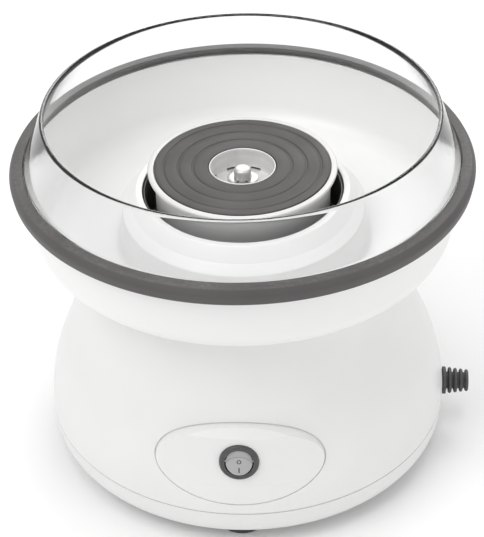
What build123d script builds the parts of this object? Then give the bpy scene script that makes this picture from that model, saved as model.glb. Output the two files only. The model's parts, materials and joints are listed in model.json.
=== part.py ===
from build123d import *

import math
import os

# Home cotton candy machine.  Millimetres.  +Z is up, the table is at Z = 0, the origin is on the
# machine's own axis, the switch faces -Y and the cord leaves on the +X side.
# "Radius" is measured from the machine's axis unless a piece has an axis of its own.

# ---------------------------------------------------------------- clearances
lift_gap = 0.3              # between pieces that lift off each other
running_gap = 0.05          # radial clearance of a shaft in its bearing
screw_gap = 0.2             # radial clearance of a screw in the piece it holds down

# ---------------------------------------------------------------- base housing
belly_radius = 127.6        # widest radius of the base
belly_height = 26.0         # height of that widest place
flank_height = 74.0         # height where the belly curve turns into the waist curve
flank_share = 0.622         # how far out that place lies between the neck and the belly
neck_radius = 100.6         # outside of the neck that carries the bowl
neck_top = 145.4            # everything above the base is stacked on this height
seam_height = 28.5          # joint between top shell and bottom pan
wall = 2.4                  # housing wall
seam_groove = 0.9           # width of the shadow line round the seam
seam_groove_depth = 1.0
seam_lip = 3.0              # lip of the pan that stands up inside the shell
lip_wall = 1.4
lip_gap = 0.15
pan_bottom = 8.0
pan_side_lean = 1.4         # how far the pan side leans in on its way down
pan_corner = 12.0
deck_drop = 11.0            # deck's upper face, under the neck's top
tower_rise = 4.6            # tower's upper face, over the neck's top
tower_wall = 2.3
tower_lip_thick = 2.5
tower_lip_width = 19.8      # top lip of the tower, from its outside inwards

# ---------------------------------------------------------------- housing fasteners and feet
boss_inset = 19.6           # screw circle, inside the belly radius
boss_radius = 4.5
boss_rise = 16.0            # the bosses end this far over the flank height, inside the wall
column_radius = 5.8
housing_screw_radius = 1.75
housing_screw_head = 3.6
housing_screw_seat = 14.0   # height of the face that the screw heads bear on
housing_screw_length = 30.0
foot_inset = 27.6           # foot circle, inside the belly radius
foot_radius = 15.5
foot_rim = 2.6
foot_neck = 4.0
foot_bulb = 6.4
vent_count = 12
vent_inner = 12.0
vent_outer = 34.0
vent_width = 3.6

# ---------------------------------------------------------------- front panel and switch
panel_foot = 36.3           # lowest point of the elliptical panel
panel_face = 45.7           # height of its face, from the foot up to the ledge
panel_ledge_rise = 5.2      # rise of the ledge, back to the body
panel_half_width = 50.4
panel_tilt = 8.0            # the face looks up by this angle
panel_edge_round = 1.2      # where the face turns into the ledge
panel_groove = 0.8          # width of the shadow line round the panel
panel_groove_depth = 0.9
panel_seat_gap = 0.05       # glue line between the panel and the shell
switch_rise = 30.3          # switch centre, over the panel's foot
switch_hole = 10.0
bezel_overlap = 1.8         # the bezel's flange covers the hole's edge by this much
bezel_wall = 1.4            # from the hole in to the bezel's opening
bezel_proud = 1.8
spot_face_depth = 0.8
barrel_length = 17.0
barrel_floor = 2.0
rocker_gap = 0.7            # room round the rocker for its tilt
rocker_tilt = 8.0           # either way from level
rocker_valley = 1.1         # height of the rocker's valley over the panel face
rocker_skirt = 5.0
rocker_wall = 1.6
pivot_depth = 1.5           # pivot line under the panel face
pivot_radius = 1.0
blade_size = (0.8, 4.8)
blade_gap = 8.4
blade_length = 8.0

# ---------------------------------------------------------------- cord gland and clamp
gland_flange = 9.0
gland_flange_thick = 2.2
gland_tip = 7.2
gland_neck = 6.9
gland_bore = 3.4
gland_reach = 16.9          # how far the gland's tip stands out of the belly
gland_ribs = 4
gland_collar = 8.4
gland_collar_thick = 3.0
clamp_inset = 23.6          # clamp's place, inside the belly radius
clamp_screw_gap = 20.0
clamp_bar = (9.0, 30.0, 6.0)
clamp_seat_drop = 1.0       # clamp posts end this far under the cord's line
post_wall = 2.0             # plastic round the pilot hole of a small post

# ---------------------------------------------------------------- electrics on the pan
board_place = (-64.0, 0.0)
board_size = (44.0, 56.0, 1.6)
board_rise = 9.6            # board's underside, over the pan's floor
board_hole_inset = 4.0
board_screw_radius = 1.25
capacitor_radius = 6.3
capacitor_height = 20.0
rectifier_size = (4.6, 15.0, 12.0)
terminal_place = (62.0, 34.0)
terminal_size = (16.0, 30.0, 12.0)
terminal_ways = 3

# ---------------------------------------------------------------- motor and spindle
shaft_radius = 3.0
motor_drop = 11.0           # motor's top, under the deck
motor_length = 58.0
motor_radius = 18.2
motor_wall = 1.5
shaft_stub = 6.0            # shaft end under the motor
end_cap_thick = 6.0
end_cap_floor = 2.5
magnet_thick = 2.4
magnet_height = 32.0
magnet_rise = 33.0          # middle of the magnets and the core, over the motor's bottom
air_gap = 0.6
core_height = 24.0
core_slots = 5
winding_height = 5.0
commutator_radius = 4.6
commutator_rise = 8.0
commutator_length = 8.0
brush_size = (5.0, 3.4, 5.0)
brush_gap = 0.1
bearing_radius = 5.0
bearing_height = 5.0
bearing_proud = 2.0
bracket_thick = 2.0
bracket_reach = 70.0
bracket_width = 14.0
bracket_hub = 24.0
mount_radius = 6.0
mount_height = 4.0
bracket_screw_radius = 1.75
motor_screw_circle = 11.0
motor_screw_radius = 1.4
fan_radius = 30.0
fan_blades = 9
fan_rise = 7.0              # fan's plate, over the bracket
fan_height = 11.0
fan_hub = 8.0
drive_pin_rise = 2.8        # pin's middle, over the hub's lower face
drive_pin_radius = 1.25
drive_pin_length = 15.0

# ---------------------------------------------------------------- spinning head
head_wall_radius = 53.2
head_wall = 1.5
head_rim_width = 4.2        # the rim stands out of the wall by this much
head_rim_thick = 3.5
head_depth = 27.0           # from the pan's underside to the rim's upper face
head_floor_thick = 1.2
floss_gap = 0.5             # slot round the disc that the floss leaves through
disc_thick = 2.2
disc_proud = 0.4
disc_steps = (47.7, 38.8, 30.0)
step_width = 1.2
step_depth = 0.7
cup_radius = 19.4
cup_wall = 0.9
cup_depth = 14.0
cup_windows = 8
cup_window_size = (4.0, 6.5, 1.3)
cup_disc_gap = 0.4          # round the cup, in the disc's hole
cup_drop = 0.5              # the cup's edge, under the disc's face
hub_flange_radius = 12.0
hub_flange_thick = 4.8
hub_sleeve = 7.0
hub_sleeve_rise = 5.0       # sleeve's end, over the cup's floor
clip_thick = 1.2
clip_radius = 9.3
clip_groove = 4.4
post_radius = 5.2
post_height = 6.3
shaft_cover = 2.0           # metal over the shaft's end in the hub
spacer_circle = 34.0
spacer_radius = 3.0
spacer_rivet = 1.2
spacer_count = 3

# ---------------------------------------------------------------- heater
pan_head_gap = 2.4          # between the head's rim and the tower's radius
heater_pan_wall = 0.8
heater_pan_drop = 1.6       # dish's rim, under the pedestal's top
heater_collar_radius = 10.0
heater_collar_height = 6.0
insulation_thick = 1.0
heater_inset = 15.2         # rod's circle, inside the head's wall
heater_rod = 3.2
heater_rise = 7.7           # rod's middle, over the dish's floor
heater_gap_angle = 24.0
heater_leg = 14.8           # length of the rod's legs under the dish's floor
heater_bush = 4.6
holder_radius = 5.2
holder_count = 3
shield_thick = 0.8
shield_hole = 10.0
heater_screw_inset = 9.8    # screw circle, inside the tower's radius
heater_screw_radius = 1.5
fuse_radius = 2.0
fuse_length = 12.0
fuse_place = (0.0, -45.0)

# ---------------------------------------------------------------- bowl, rim and guard
bowl_wall = 2.2
pedestal_rise = 35.2        # pedestal's top, over the neck's top
pedestal_lip_width = 3.8
pedestal_shoulder = (8.8, 7.8)      # out from the well's edge, down from the pedestal's top
pedestal_corner = (13.9, 12.5)
pedestal_foot = 15.2        # pedestal's foot, out from the well's edge
bowl_corner_lean = 4.2      # how far the bowl's side leans in down to its corner
bowl_corner_rise = 8.1      # height of that corner over the neck's top
bowl_corner_round = 16.0
bowl_skirt = 4.0            # locating skirt under the bowl, inside the neck
bowl_rim_radius = 131.1     # outside of the bowl wall under its flange
bowl_rise = 53.9            # bowl's rim, over the neck's top
bowl_flange = 4.7
rim_cover = 4.2             # thickness of the rim ring outside the flange
rim_drop = 4.8              # rim ring's lower edge, under the bowl's rim
rim_rise = 5.3
guard_height = 36.7         # guard's lip, over the bowl's rim
guard_lean = 12.5           # the guard's mouth is this much smaller than its foot
guard_lip = 2.6
guard_wall = 2.2
guard_foot = 3.8            # straight foot of the guard, inside the rim ring

# ---------------------------------------------------------------- heights of the stack
pan_floor = pan_bottom + wall
deck_top = neck_top - deck_drop
deck_bottom = deck_top - wall
tower_top = neck_top + tower_rise
motor_top = deck_bottom - motor_drop
motor_bottom = motor_top - motor_length
bracket_top = motor_top + bracket_thick
post_bottom = bracket_top + mount_height
dish_floor = tower_top + insulation_thick
dish_inside = dish_floor + heater_pan_wall
heater_height = dish_inside + heater_rise
shield_top = tower_top - tower_lip_thick
shield_bottom = shield_top - shield_thick
hub_bottom = heater_height + heater_rod + 0.5
head_floor = hub_bottom + hub_flange_thick
head_floor_top = head_floor + head_floor_thick
head_top = head_floor + head_depth
disc_top = head_top + disc_proud
disc_bottom = disc_top - disc_thick
cup_floor = head_top - cup_depth
hub_sleeve_top = cup_floor + hub_sleeve_rise
clip_top = hub_sleeve_top + clip_thick
post_top = clip_top + post_height
drive_pin_height = hub_bottom + drive_pin_rise
shaft_top = hub_sleeve_top - shaft_cover
pedestal_top = neck_top + pedestal_rise
bowl_bottom = neck_top + lift_gap
bowl_floor = bowl_bottom + bowl_wall
bowl_rim_top = neck_top + bowl_rise
bowl_flange_low = bowl_rim_top - bowl_wall

# ---------------------------------------------------------------- radii and places that follow
disc_radius = head_wall_radius + 0.1
head_rim_radius = head_wall_radius + head_rim_width
cup_outer = cup_radius + cup_wall
tower_radius = head_rim_radius + pan_head_gap
tower_inside = tower_radius - tower_wall
heater_circle = head_wall_radius - heater_inset
heater_screw_circle = tower_radius - heater_screw_inset
tower_lip_radius = tower_radius - tower_lip_width
dish_radius = tower_radius + heater_pan_wall
well_edge = dish_radius + lift_gap + 0.5
rim_inner = bowl_rim_radius + lift_gap
rim_radius = bowl_rim_radius + bowl_flange + rim_cover
guard_foot_radius = rim_inner - lift_gap
magnet_outer = motor_radius - motor_wall
magnet_inner = magnet_outer - magnet_thick
core_radius = magnet_inner - air_gap
core_middle = motor_bottom + magnet_rise
core_low = core_middle - core_height / 2
core_high = core_middle + core_height / 2
commutator_low = motor_bottom + commutator_rise
commutator_high = commutator_low + commutator_length
bezel_radius = switch_hole + bezel_overlap
bezel_opening = switch_hole - bezel_wall
rocker_radius = bezel_opening - rocker_gap
panel_ledge = panel_foot + panel_face
panel_top = panel_ledge + panel_ledge_rise
switch_height = panel_foot + switch_rise
gland_height = seam_height
gland_flange_start = belly_radius + 0.2
gland_collar_end = gland_flange_start - wall - 1.2
clamp_place = belly_radius - clamp_inset
clamp_seat = gland_height - clamp_seat_drop
board_underside = pan_floor + board_rise
board_upper = board_underside + board_size[2]


# ================================================================ helpers
def section(*points, rounds=()):
    """A closed outline of (radius, height) points; rounds lists (corner, fillet radius)."""
    face = make_face(Polyline(*points, close=True))
    for corner, radius in rounds:
        nearest = face.vertices().sort_by_distance((corner[0], corner[1], 0))[0]
        face = fillet(nearest, radius)
    return face


def band(inner, outer, low, high):
    """A rectangle of the section plane, between two radii and two heights."""
    return Pos((inner + outer) / 2, (low + high) / 2) * Rectangle(outer - inner, high - low)


def turned(face, place=(0, 0)):
    """The face turned about a vertical axis through place."""
    return Pos(place[0], place[1], 0) * revolve(Plane.XZ * face, Axis.Z)


def rod(radius, low, high, place=(0, 0)):
    """A vertical round bar."""
    return Pos(place[0], place[1], (low + high) / 2) * Cylinder(radius, high - low)


def tube(inner, outer, low, high, place=(0, 0)):
    return rod(outer, low, high, place) - rod(inner, low - 1, high + 1, place)


def block(size, place, low):
    """A box that stands on the height low."""
    return Pos(place[0], place[1], low + size[2] / 2) * Box(*size)


def around(radius, count, start=0.0):
    """Places evenly spaced on a circle."""
    step = 2 * math.pi / count
    turns = [math.radians(start) + step * i for i in range(count)]
    return [(radius * math.cos(a), radius * math.sin(a)) for a in turns]


def screw(shank, head, seat, length, head_height, place=(0, 0), down=True):
    """A pan-head screw; the head bears on the height seat and the shank points down or up."""
    sign = 1 if down else -1
    head_low, head_high = sorted((seat, seat + sign * head_height))
    body_low, body_high = sorted((seat, seat - sign * length))
    solid = rod(head, head_low, head_high, place) + rod(shank, body_low, body_high, place)
    recess_face = seat + sign * (head_height - 0.4)
    slot = Pos(place[0], place[1], recess_face) * Box(2.2 * head, 0.8, 0.9)
    return solid - slot


def save(name, *solids):
    """Write one node; several solids go in as a group."""
    shape = solids[0] if len(solids) == 1 else Compound(children=list(solids))
    shape.label = name
    export_step(shape, os.path.join("parts", name + ".step"))


# ================================================================ base housing
flank_radius = neck_radius + flank_share * (belly_radius - neck_radius)


def body_region(inset):
    """Everything inside the base's side curve, drawn in by inset: belly arc, then waist arc."""
    low = (belly_radius - inset, belly_height)
    middle = (flank_radius - inset, flank_height)
    high = (neck_radius - inset, neck_top)
    belly = TangentArc(low, middle, tangent=(0, 1))
    waist = TangentArc(middle, high, tangent=belly % 1)
    closing = Polyline(high, (0, neck_top), (0, belly_height), low)
    return make_face([belly, waist, closing])


def belly_curve(height):
    """Radius of the base at a height on its belly arc."""
    rise = flank_height - belly_height
    run = belly_radius - flank_radius
    arc = (rise ** 2 + run ** 2) / (2 * run)
    return belly_radius - arc + math.sqrt(arc ** 2 - (height - belly_height) ** 2)


def body_solid(inset=0.0):
    return turned(body_region(inset))


def pan_region(inset):
    """Section of the pan's outside, drawn in by inset and cut off at the seam."""
    seam_radius = belly_curve(seam_height) - inset
    corner = (belly_radius - pan_side_lean - inset, pan_bottom + inset)
    return section(
        (0, pan_bottom + inset), corner, (seam_radius, seam_height), (0, seam_height),
        rounds=[(corner, pan_corner)],
    )


def seam_line():
    """Section of the groove that runs round the seam, half in each housing part."""
    deep = belly_curve(seam_height) - seam_groove_depth
    half = seam_groove / 2
    return band(deep, belly_radius + 1, seam_height - half, seam_height + half)


boss_places = around(belly_radius - boss_inset, 4, 45)
foot_places = around(belly_radius - foot_inset, 4, -90)
post_places = around(bracket_reach, 3, 90)
heater_screw_places = around(heater_screw_circle, 3, 30)
motor_screw_places = around(motor_screw_circle, 2)
spacer_places = around(spacer_circle, spacer_count, 30)
clamp_screw_places = [(clamp_place, side * clamp_screw_gap / 2) for side in (-1, 1)]


def cord_line_bar(radius, start, end):
    """A round bar along the cord's line, between two distances from the machine's axis."""
    return Pos((start + end) / 2, 0, gland_height) * Rot(0, 90, 0) * Cylinder(radius, end - start)


def gland_hole():
    """The hole in both housing halves, with room inside for the gland's collar."""
    inner = belly_radius - 20
    return (cord_line_bar(gland_neck, inner, belly_radius + 5)
            + cord_line_bar(gland_collar + 0.2, inner, gland_collar_end + 0.1))


def make_top_shell():
    reach = belly_radius + 1
    above_seam = band(0, reach, seam_height, neck_top)
    skin = (body_region(0) & above_seam) - (body_region(wall) & band(0, reach, 0, deck_bottom))
    skin -= seam_line()
    recess = body_region(wall) & band(tower_inside, reach, deck_top, neck_top)
    well = band(0, tower_inside, deck_bottom - 1, neck_top)
    tower = band(tower_inside, tower_radius, deck_bottom, tower_top)
    lip = band(tower_lip_radius, tower_radius, shield_top, tower_top)
    solid = turned(skin - recess - well + tower + lip)
    envelope = body_solid(wall / 2)
    for place in boss_places:
        solid += rod(boss_radius, seam_height, flank_height + boss_rise, place) & envelope
    for place in post_places:
        solid += rod(mount_radius - 1, post_bottom, deck_bottom + 1, place)
    screw_top = housing_screw_seat + housing_screw_length
    for place in boss_places:
        solid -= rod(housing_screw_radius, seam_height - 1, screw_top + 1, place)
    for place in post_places:
        solid -= rod(bracket_screw_radius, post_bottom - 1, deck_bottom - 0.5, place)
    for place in heater_screw_places:
        solid -= rod(heater_screw_radius + screw_gap, shield_top - 1, tower_top + 1, place)
    for place in heater_leg_places():
        solid -= rod(heater_bush, shield_top - 1, tower_top + 1, place)
    solid -= gland_hole()
    solid -= switch_frame() * Cylinder(switch_hole, 4 * wall + 20)
    solid -= panel_line()
    return solid - bezel_seat()


def make_bottom_pan():
    solid = turned(pan_region(0) - pan_region(wall) - seam_line())
    lip_outer = belly_curve(seam_height + seam_lip) - wall - lip_gap
    lip_root = seam_height - seam_lip - 1
    solid += tube(lip_outer - lip_wall, lip_outer, lip_root, seam_height + seam_lip)
    solid += tube(lip_outer - lip_wall, belly_curve(lip_root) - wall / 2, lip_root, lip_root + 2)
    for place in boss_places:
        solid += rod(column_radius, pan_floor - 1, seam_height, place)
    for place in boss_places:
        solid -= rod(housing_screw_radius + screw_gap, pan_bottom - 1, seam_height + 1, place)
        solid -= rod(housing_screw_head + 0.4, pan_bottom - 1, housing_screw_seat, place)
    for place in foot_places:
        solid -= rod(foot_neck, pan_bottom - 1, pan_floor + 1, place)
    for place in board_holes():
        solid += tube(board_screw_radius, board_screw_radius + post_wall,
                      pan_floor - 0.5, board_underside, place)
    for place in clamp_screw_places:
        solid += tube(board_screw_radius, board_screw_radius + post_wall,
                      pan_floor - 0.5, clamp_seat, place)
    slot_length = vent_outer - vent_inner
    slot = Pos((vent_outer + vent_inner) / 2, 0, pan_floor) * extrude(
        SlotOverall(slot_length, vent_width), 3 * wall, both=True)
    for i in range(vent_count):
        solid -= Rot(0, 0, 360 / vent_count * i) * slot
    return solid - gland_hole()


def make_housing_screws():
    return [
        screw(housing_screw_radius, housing_screw_head, housing_screw_seat,
              housing_screw_length, 2.4, place, down=False)
        for place in boss_places
    ]


def make_foot(place):
    """Suction foot: a hollow cup, a neck through the pan and a bulb that holds it there."""
    shoulder = foot_neck + 5.6
    bulb_top = pan_floor + 4.5
    cup = section(
        (0, 2.6), (foot_radius - 2 * foot_rim, 2.0), (foot_radius - foot_rim, 0),
        (foot_radius, 0), (foot_radius, 1.2), (shoulder, pan_bottom - 0.6),
        (shoulder, pan_bottom), (foot_neck, pan_bottom), (foot_neck, pan_floor),
        (foot_bulb, pan_floor), (foot_neck, bulb_top), (0, bulb_top),
    )
    return turned(cup, place)


# ================================================================ front panel and switch
panel_slope = math.tan(math.radians(panel_tilt))


def panel_radius(height):
    """Radius of the panel's face at a height; it leaves the body at the panel's foot."""
    return belly_curve(panel_foot) - (height - panel_foot) * panel_slope


def switch_frame(lift=0.0):
    """The switch's own frame: X to the right, Y up the panel, Z out of the panel's face."""
    lean = math.radians(panel_tilt)
    out = (0, -math.cos(lean), math.sin(lean))
    origin = (0, -panel_radius(switch_height) + lift * out[1], switch_height + lift * out[2])
    return Plane(origin=origin, x_dir=(1, 0, 0), z_dir=out).location


def bezel_seat():
    """The flat round pocket that the bezel's flange lies in."""
    depth = 10
    return switch_frame(depth / 2 - spot_face_depth) * Cylinder(bezel_radius + 0.2, depth)


def panel_prism(grow=0.0):
    """The panel's oval, run straight through to the back; grow widens it all round."""
    middle = (panel_foot + panel_top) / 2
    oval = Ellipse(panel_half_width + grow, (panel_top - panel_foot) / 2 + grow)
    return extrude(Plane.XZ * Pos(0, middle) * oval, belly_radius + 10)


def panel_line():
    """The groove in the shell that runs round the panel."""
    ring = panel_prism(panel_groove) - panel_prism()
    return ring - body_solid(panel_groove_depth)


def make_front_panel():
    """Raised elliptical panel that follows the body round; its top ends in a ledge."""
    deep = neck_radius - wall
    low = panel_foot - 5
    outline = section(
        (deep, low), (panel_radius(low), low), (panel_radius(panel_ledge), panel_ledge),
        (panel_radius(panel_ledge) - 5, panel_top), (deep, panel_top),
        rounds=[((panel_radius(panel_ledge), panel_ledge), panel_edge_round)],
    )
    solid = (turned(outline) & panel_prism()) - body_solid(-panel_seat_gap)
    solid -= switch_frame() * Cylinder(switch_hole, 60)
    solid -= bezel_seat()
    front = [part for part in solid.solids() if part.center().Y < 0]
    return max(front, key=lambda part: part.volume)


def make_switch_bezel():
    """Bezel flange, and the barrel behind it that holds the contacts."""
    back = -barrel_length
    outline = section(
        (bezel_opening, bezel_proud - 0.5), (bezel_opening + 1.0, bezel_proud),
        (bezel_radius - 0.9, bezel_proud), (bezel_radius, bezel_proud - 0.9),
        (bezel_radius, -spot_face_depth), (switch_hole - 0.1, -spot_face_depth),
        (switch_hole - 0.1, back), (0, back), (0, back + barrel_floor),
        (bezel_opening - 2, back + barrel_floor),
        (bezel_opening - 2, -rocker_skirt - pivot_depth - 1),
        (bezel_opening, -rocker_skirt - pivot_depth),
    )
    body = revolve(Plane.XZ * outline, Axis.Z)
    body -= Pos(0, 0, -pivot_depth) * Rot(0, 90, 0) * Cylinder(pivot_radius, 3 * bezel_radius)
    for side in (-1, 1):
        slot = Box(blade_size[0], blade_size[1], 2 * barrel_floor)
        body -= Pos(side * blade_gap / 2, 0, back + barrel_floor / 2) * slot
    return switch_frame() * body


def make_switch_rocker():
    """Round rocker with a shallow valley across it, at rest with its upper half pressed in."""
    top = rocker_valley + rocker_radius * math.tan(math.radians(rocker_tilt))
    body = Pos(0, 0, (top - rocker_skirt) / 2) * Cylinder(rocker_radius, top + rocker_skirt)
    cutter = Pos(0, rocker_radius, rocker_radius / 2) * Box(4 * rocker_radius, 2 * rocker_radius,
                                                            rocker_radius)
    for turn in (rocker_tilt, -rocker_tilt):
        half = cutter if turn > 0 else mirror(cutter, Plane.XZ)
        body -= Pos(0, 0, rocker_valley) * Rot(turn, 0, 0) * half
    body -= Pos(0, 0, -rocker_skirt) * Cylinder(rocker_radius - rocker_wall, 5)
    bore = Pos(0, 0, -pivot_depth) * Rot(0, 90, 0)
    body -= bore * Cylinder(pivot_radius + running_gap, 3 * rocker_radius)
    rest = Pos(0, 0, -pivot_depth) * Rot(-rocker_tilt, 0, 0) * Pos(0, 0, pivot_depth)
    return switch_frame() * rest * body


def make_switch_pivot():
    length = 2 * (switch_hole - 0.3)
    return switch_frame() * Pos(0, 0, -pivot_depth) * Rot(0, 90, 0) * Cylinder(pivot_radius, length)


def make_switch_terminals():
    length = blade_length + barrel_floor
    blade = Box(blade_size[0], blade_size[1], length)
    middle = barrel_floor - barrel_length - length / 2
    return [
        switch_frame() * Pos(side * blade_gap / 2, 0, middle) * blade for side in (-1, 1)
    ]


# ================================================================ cord gland and clamp
def make_strain_relief():
    """Ribbed cord gland: a collar inside, a neck in the wall, a flange and ribs outside."""
    flange_end = gland_flange_start + gland_flange_thick
    collar_start = gland_collar_end - gland_collar_thick
    tip = belly_radius + gland_reach
    pitch = (tip - flange_end) / gland_ribs
    rib_width = 0.55 * pitch
    core = gland_bore + 1.5
    points = [(gland_bore, collar_start), (gland_collar, collar_start)]
    points += [(gland_collar, gland_collar_end), (gland_neck, gland_collar_end)]
    points += [(gland_neck, gland_flange_start), (gland_flange, gland_flange_start)]
    points += [(gland_flange, flange_end), (core, flange_end)]
    for i in range(gland_ribs):
        taper = gland_flange - (gland_flange - gland_tip) * (i + 1) / gland_ribs
        far = flange_end + pitch * (i + 1)
        points += [(core, far - rib_width), (taper, far - rib_width), (taper, far), (core, far)]
    points[-1] = (gland_bore, tip)
    solid = revolve(Plane.XZ * make_face(Polyline(*points, close=True)), Axis.Z)
    return Pos(0, 0, gland_height) * Rot(0, 90, 0) * solid


def make_cord_clamp():
    bar = block(clamp_bar, (clamp_place, 0), clamp_seat)
    bar = fillet(bar.edges().filter_by(Axis.Z), 2.0)
    bar -= cord_line_bar(gland_bore, clamp_place - 10, clamp_place + 10)
    for place in clamp_screw_places:
        bar -= rod(board_screw_radius + screw_gap, clamp_seat - 1, clamp_seat + 10, place)
    return bar


def make_cord_clamp_screws():
    seat = clamp_seat + clamp_bar[2]
    return [screw(board_screw_radius, 2.8, seat, 14, 1.8, place) for place in clamp_screw_places]


# ================================================================ electrics on the pan
def board_holes():
    half_x = board_size[0] / 2 - board_hole_inset
    half_y = board_size[1] / 2 - board_hole_inset
    corners = [(-half_x, -half_y), (half_x, -half_y), (half_x, half_y), (-half_x, half_y)]
    return [(board_place[0] + x, board_place[1] + y) for x, y in corners]


def make_control_board():
    board = block(board_size, board_place, board_underside)
    board = fillet(board.edges().filter_by(Axis.Z), 2.0)
    for place in board_holes():
        board -= rod(board_screw_radius + screw_gap, board_underside - 1, board_upper + 1, place)
    return board


def make_board_capacitor():
    place = (board_place[0] - 8, board_place[1] + 10)
    can = rod(capacitor_radius, board_upper, board_upper + capacitor_height, place)
    return fillet(can.edges().sort_by(Axis.Z)[-1], 0.8)


def make_board_rectifier():
    place = (board_place[0] + 8, board_place[1] - 8)
    chip = block(rectifier_size, place, board_upper)
    return chamfer(chip.edges().group_by(Axis.Z)[-1], 0.8)


def make_board_screws():
    return [screw(board_screw_radius, 2.6, board_upper, 8, 1.6, place) for place in board_holes()]


def terminal_screw_places():
    pitch = terminal_size[1] / terminal_ways
    first = terminal_place[1] - terminal_size[1] / 2 + pitch / 2
    return [(terminal_place[0], first + pitch * i) for i in range(terminal_ways)]


def make_terminal_block():
    body = block(terminal_size, terminal_place, pan_floor)
    body = fillet(body.edges().filter_by(Axis.Z), 1.5)
    high = pan_floor + terminal_size[2]
    for place in terminal_screw_places():
        body -= rod(2.6, high - 5, high + 1, place)
        mouth = Pos(place[0], place[1], pan_floor + 3.2) * Rot(0, 90, 0)
        body -= mouth * Cylinder(1.6, terminal_size[0] + 2)
    return body


def make_terminal_screws():
    seat = pan_floor + terminal_size[2] - 5
    return [screw(1.2, 2.4, seat + 0.8, 0.8, 1.6, place) for place in terminal_screw_places()]


# ================================================================ motor and spindle
def make_motor_can():
    can = turned(
        band(magnet_outer, motor_radius, motor_bottom, motor_top)
        + band(bearing_radius, motor_radius, motor_top - motor_wall, motor_top)
    )
    for place in motor_screw_places:
        can -= rod(motor_screw_radius, motor_top - 5, motor_top + 1, place)
    for i in range(4):
        window = Pos(motor_radius, 0, motor_top - 9) * Box(8, 7, 4)
        can -= Rot(0, 0, 45 + 90 * i) * window
    return can


def make_motor_magnets():
    """Two curved magnets with a gap at each side."""
    low = core_middle - magnet_height / 2
    high = core_middle + magnet_height / 2
    full = tube(magnet_inner, magnet_outer, low, high)
    gap = Pos(0, 0, core_middle) * Box(2 * motor_radius + 2, 9, magnet_height + 2)
    return (full - gap).solids()


def make_motor_end_cap():
    high = motor_bottom + end_cap_thick
    cap = rod(magnet_outer, motor_bottom, high)
    cap -= rod(magnet_outer - 2, motor_bottom + end_cap_floor, high + 1)
    cap += rod(bearing_radius + 2, motor_bottom - bearing_proud, high)
    return cap - rod(bearing_radius, motor_bottom - bearing_proud - 1, high + 1)


def make_bearing(low):
    return tube(shaft_radius + running_gap, bearing_radius, low, low + bearing_height)


def make_brush_holders():
    """Two brass channels on the end cap, one each side of the commutator."""
    middle = commutator_low + commutator_length / 2
    start = commutator_radius + 1.2
    end = magnet_outer - 0.4
    width = brush_size[1] + 1.6
    height = brush_size[2] + 1.6
    holders = []
    for side in (-1, 1):
        place = Pos(side * (start + end) / 2, 0, middle)
        shell = place * Box(end - start, width, height)
        shell -= place * Box(end - start + 1, brush_size[1], brush_size[2])
        leg_low = motor_bottom + end_cap_floor
        leg_high = middle - height / 2
        leg = Pos(side * (end - 4.4), 0, (leg_low + leg_high) / 2) * Box(
            3, width, leg_high - leg_low)
        holders.append(shell + leg)
    return holders


def make_brushes():
    reach = commutator_radius + brush_gap + brush_size[0] / 2
    middle = commutator_low + commutator_length / 2
    return [Pos(side * reach, 0, middle) * Box(*brush_size) for side in (-1, 1)]


def make_motor_shaft():
    shaft = rod(shaft_radius, motor_bottom - shaft_stub, shaft_top)
    shaft = chamfer(shaft.edges().sort_by(Axis.Z)[-1], 0.6)
    pin = Pos(0, 0, drive_pin_height) * Rot(0, 90, 0) * Cylinder(drive_pin_radius, 10)
    return shaft - pin


def make_armature():
    """Laminated core: a round stack with slots for the windings."""
    core = tube(shaft_radius, core_radius, core_low, core_high)
    for i in range(core_slots):
        slot = Pos(core_radius - 3, 0, core_middle) * Box(9, 2.6, core_height + 2)
        pocket = Pos(core_radius - 5, 0, core_middle) * Cylinder(2.6, core_height + 2)
        core -= Rot(0, 0, 360 / core_slots * i) * (slot + pocket)
    return core


def make_armature_windings():
    """The coil heads above and below the core, and the copper that fills the slots."""
    head = section(
        (shaft_radius + 0.8, 0), (core_radius - 1.5, 0), (core_radius - 1.5, winding_height),
        (shaft_radius + 0.8, winding_height),
        rounds=[((core_radius - 1.5, winding_height), 2.0)],
    )
    upper = Pos(0, 0, core_high) * turned(head)
    lower = Pos(0, 0, core_low) * Rot(180, 0, 0) * turned(head)
    solid = upper + lower
    for i in range(core_slots):
        fill = Pos(core_radius - 5, 0, core_middle) * Cylinder(2.3, core_height + 1)
        solid += Rot(0, 0, 360 / core_slots * i) * fill
    return solid


def make_commutator():
    drum = tube(shaft_radius, commutator_radius, commutator_low, commutator_high)
    middle = (commutator_low + commutator_high) / 2
    for i in range(core_slots):
        cut = Pos(commutator_radius, 0, middle) * Box(0.8, 0.4, commutator_length + 1)
        drum -= Rot(0, 0, 360 / core_slots * (i + 0.5)) * cut
    return drum


def make_motor_bracket():
    """Three-armed steel plate that carries the motor under the deck."""
    plate = rod(bracket_hub, motor_top, bracket_top)
    arm = block((bracket_reach, bracket_width, bracket_thick), (bracket_reach / 2, 0), motor_top)
    for i in range(3):
        plate += Rot(0, 0, 90 + 120 * i) * arm
    for place in post_places:
        plate += rod(bracket_width / 2, motor_top, bracket_top, place)
        plate -= rod(bracket_screw_radius + screw_gap, motor_top - 1, bracket_top + 1, place)
    for place in motor_screw_places:
        plate -= rod(motor_screw_radius + screw_gap, motor_top - 1, bracket_top + 1, place)
    return plate - rod(bearing_radius + 1, motor_top - 1, bracket_top + 1)


def make_motor_screws():
    return [
        screw(motor_screw_radius, 2.4, bracket_top, bracket_thick + motor_wall + 1, 1.4, place)
        for place in motor_screw_places
    ]


def make_rubber_mounts():
    return [
        tube(bracket_screw_radius + screw_gap, mount_radius, bracket_top, post_bottom, place)
        for place in post_places
    ]


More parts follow.
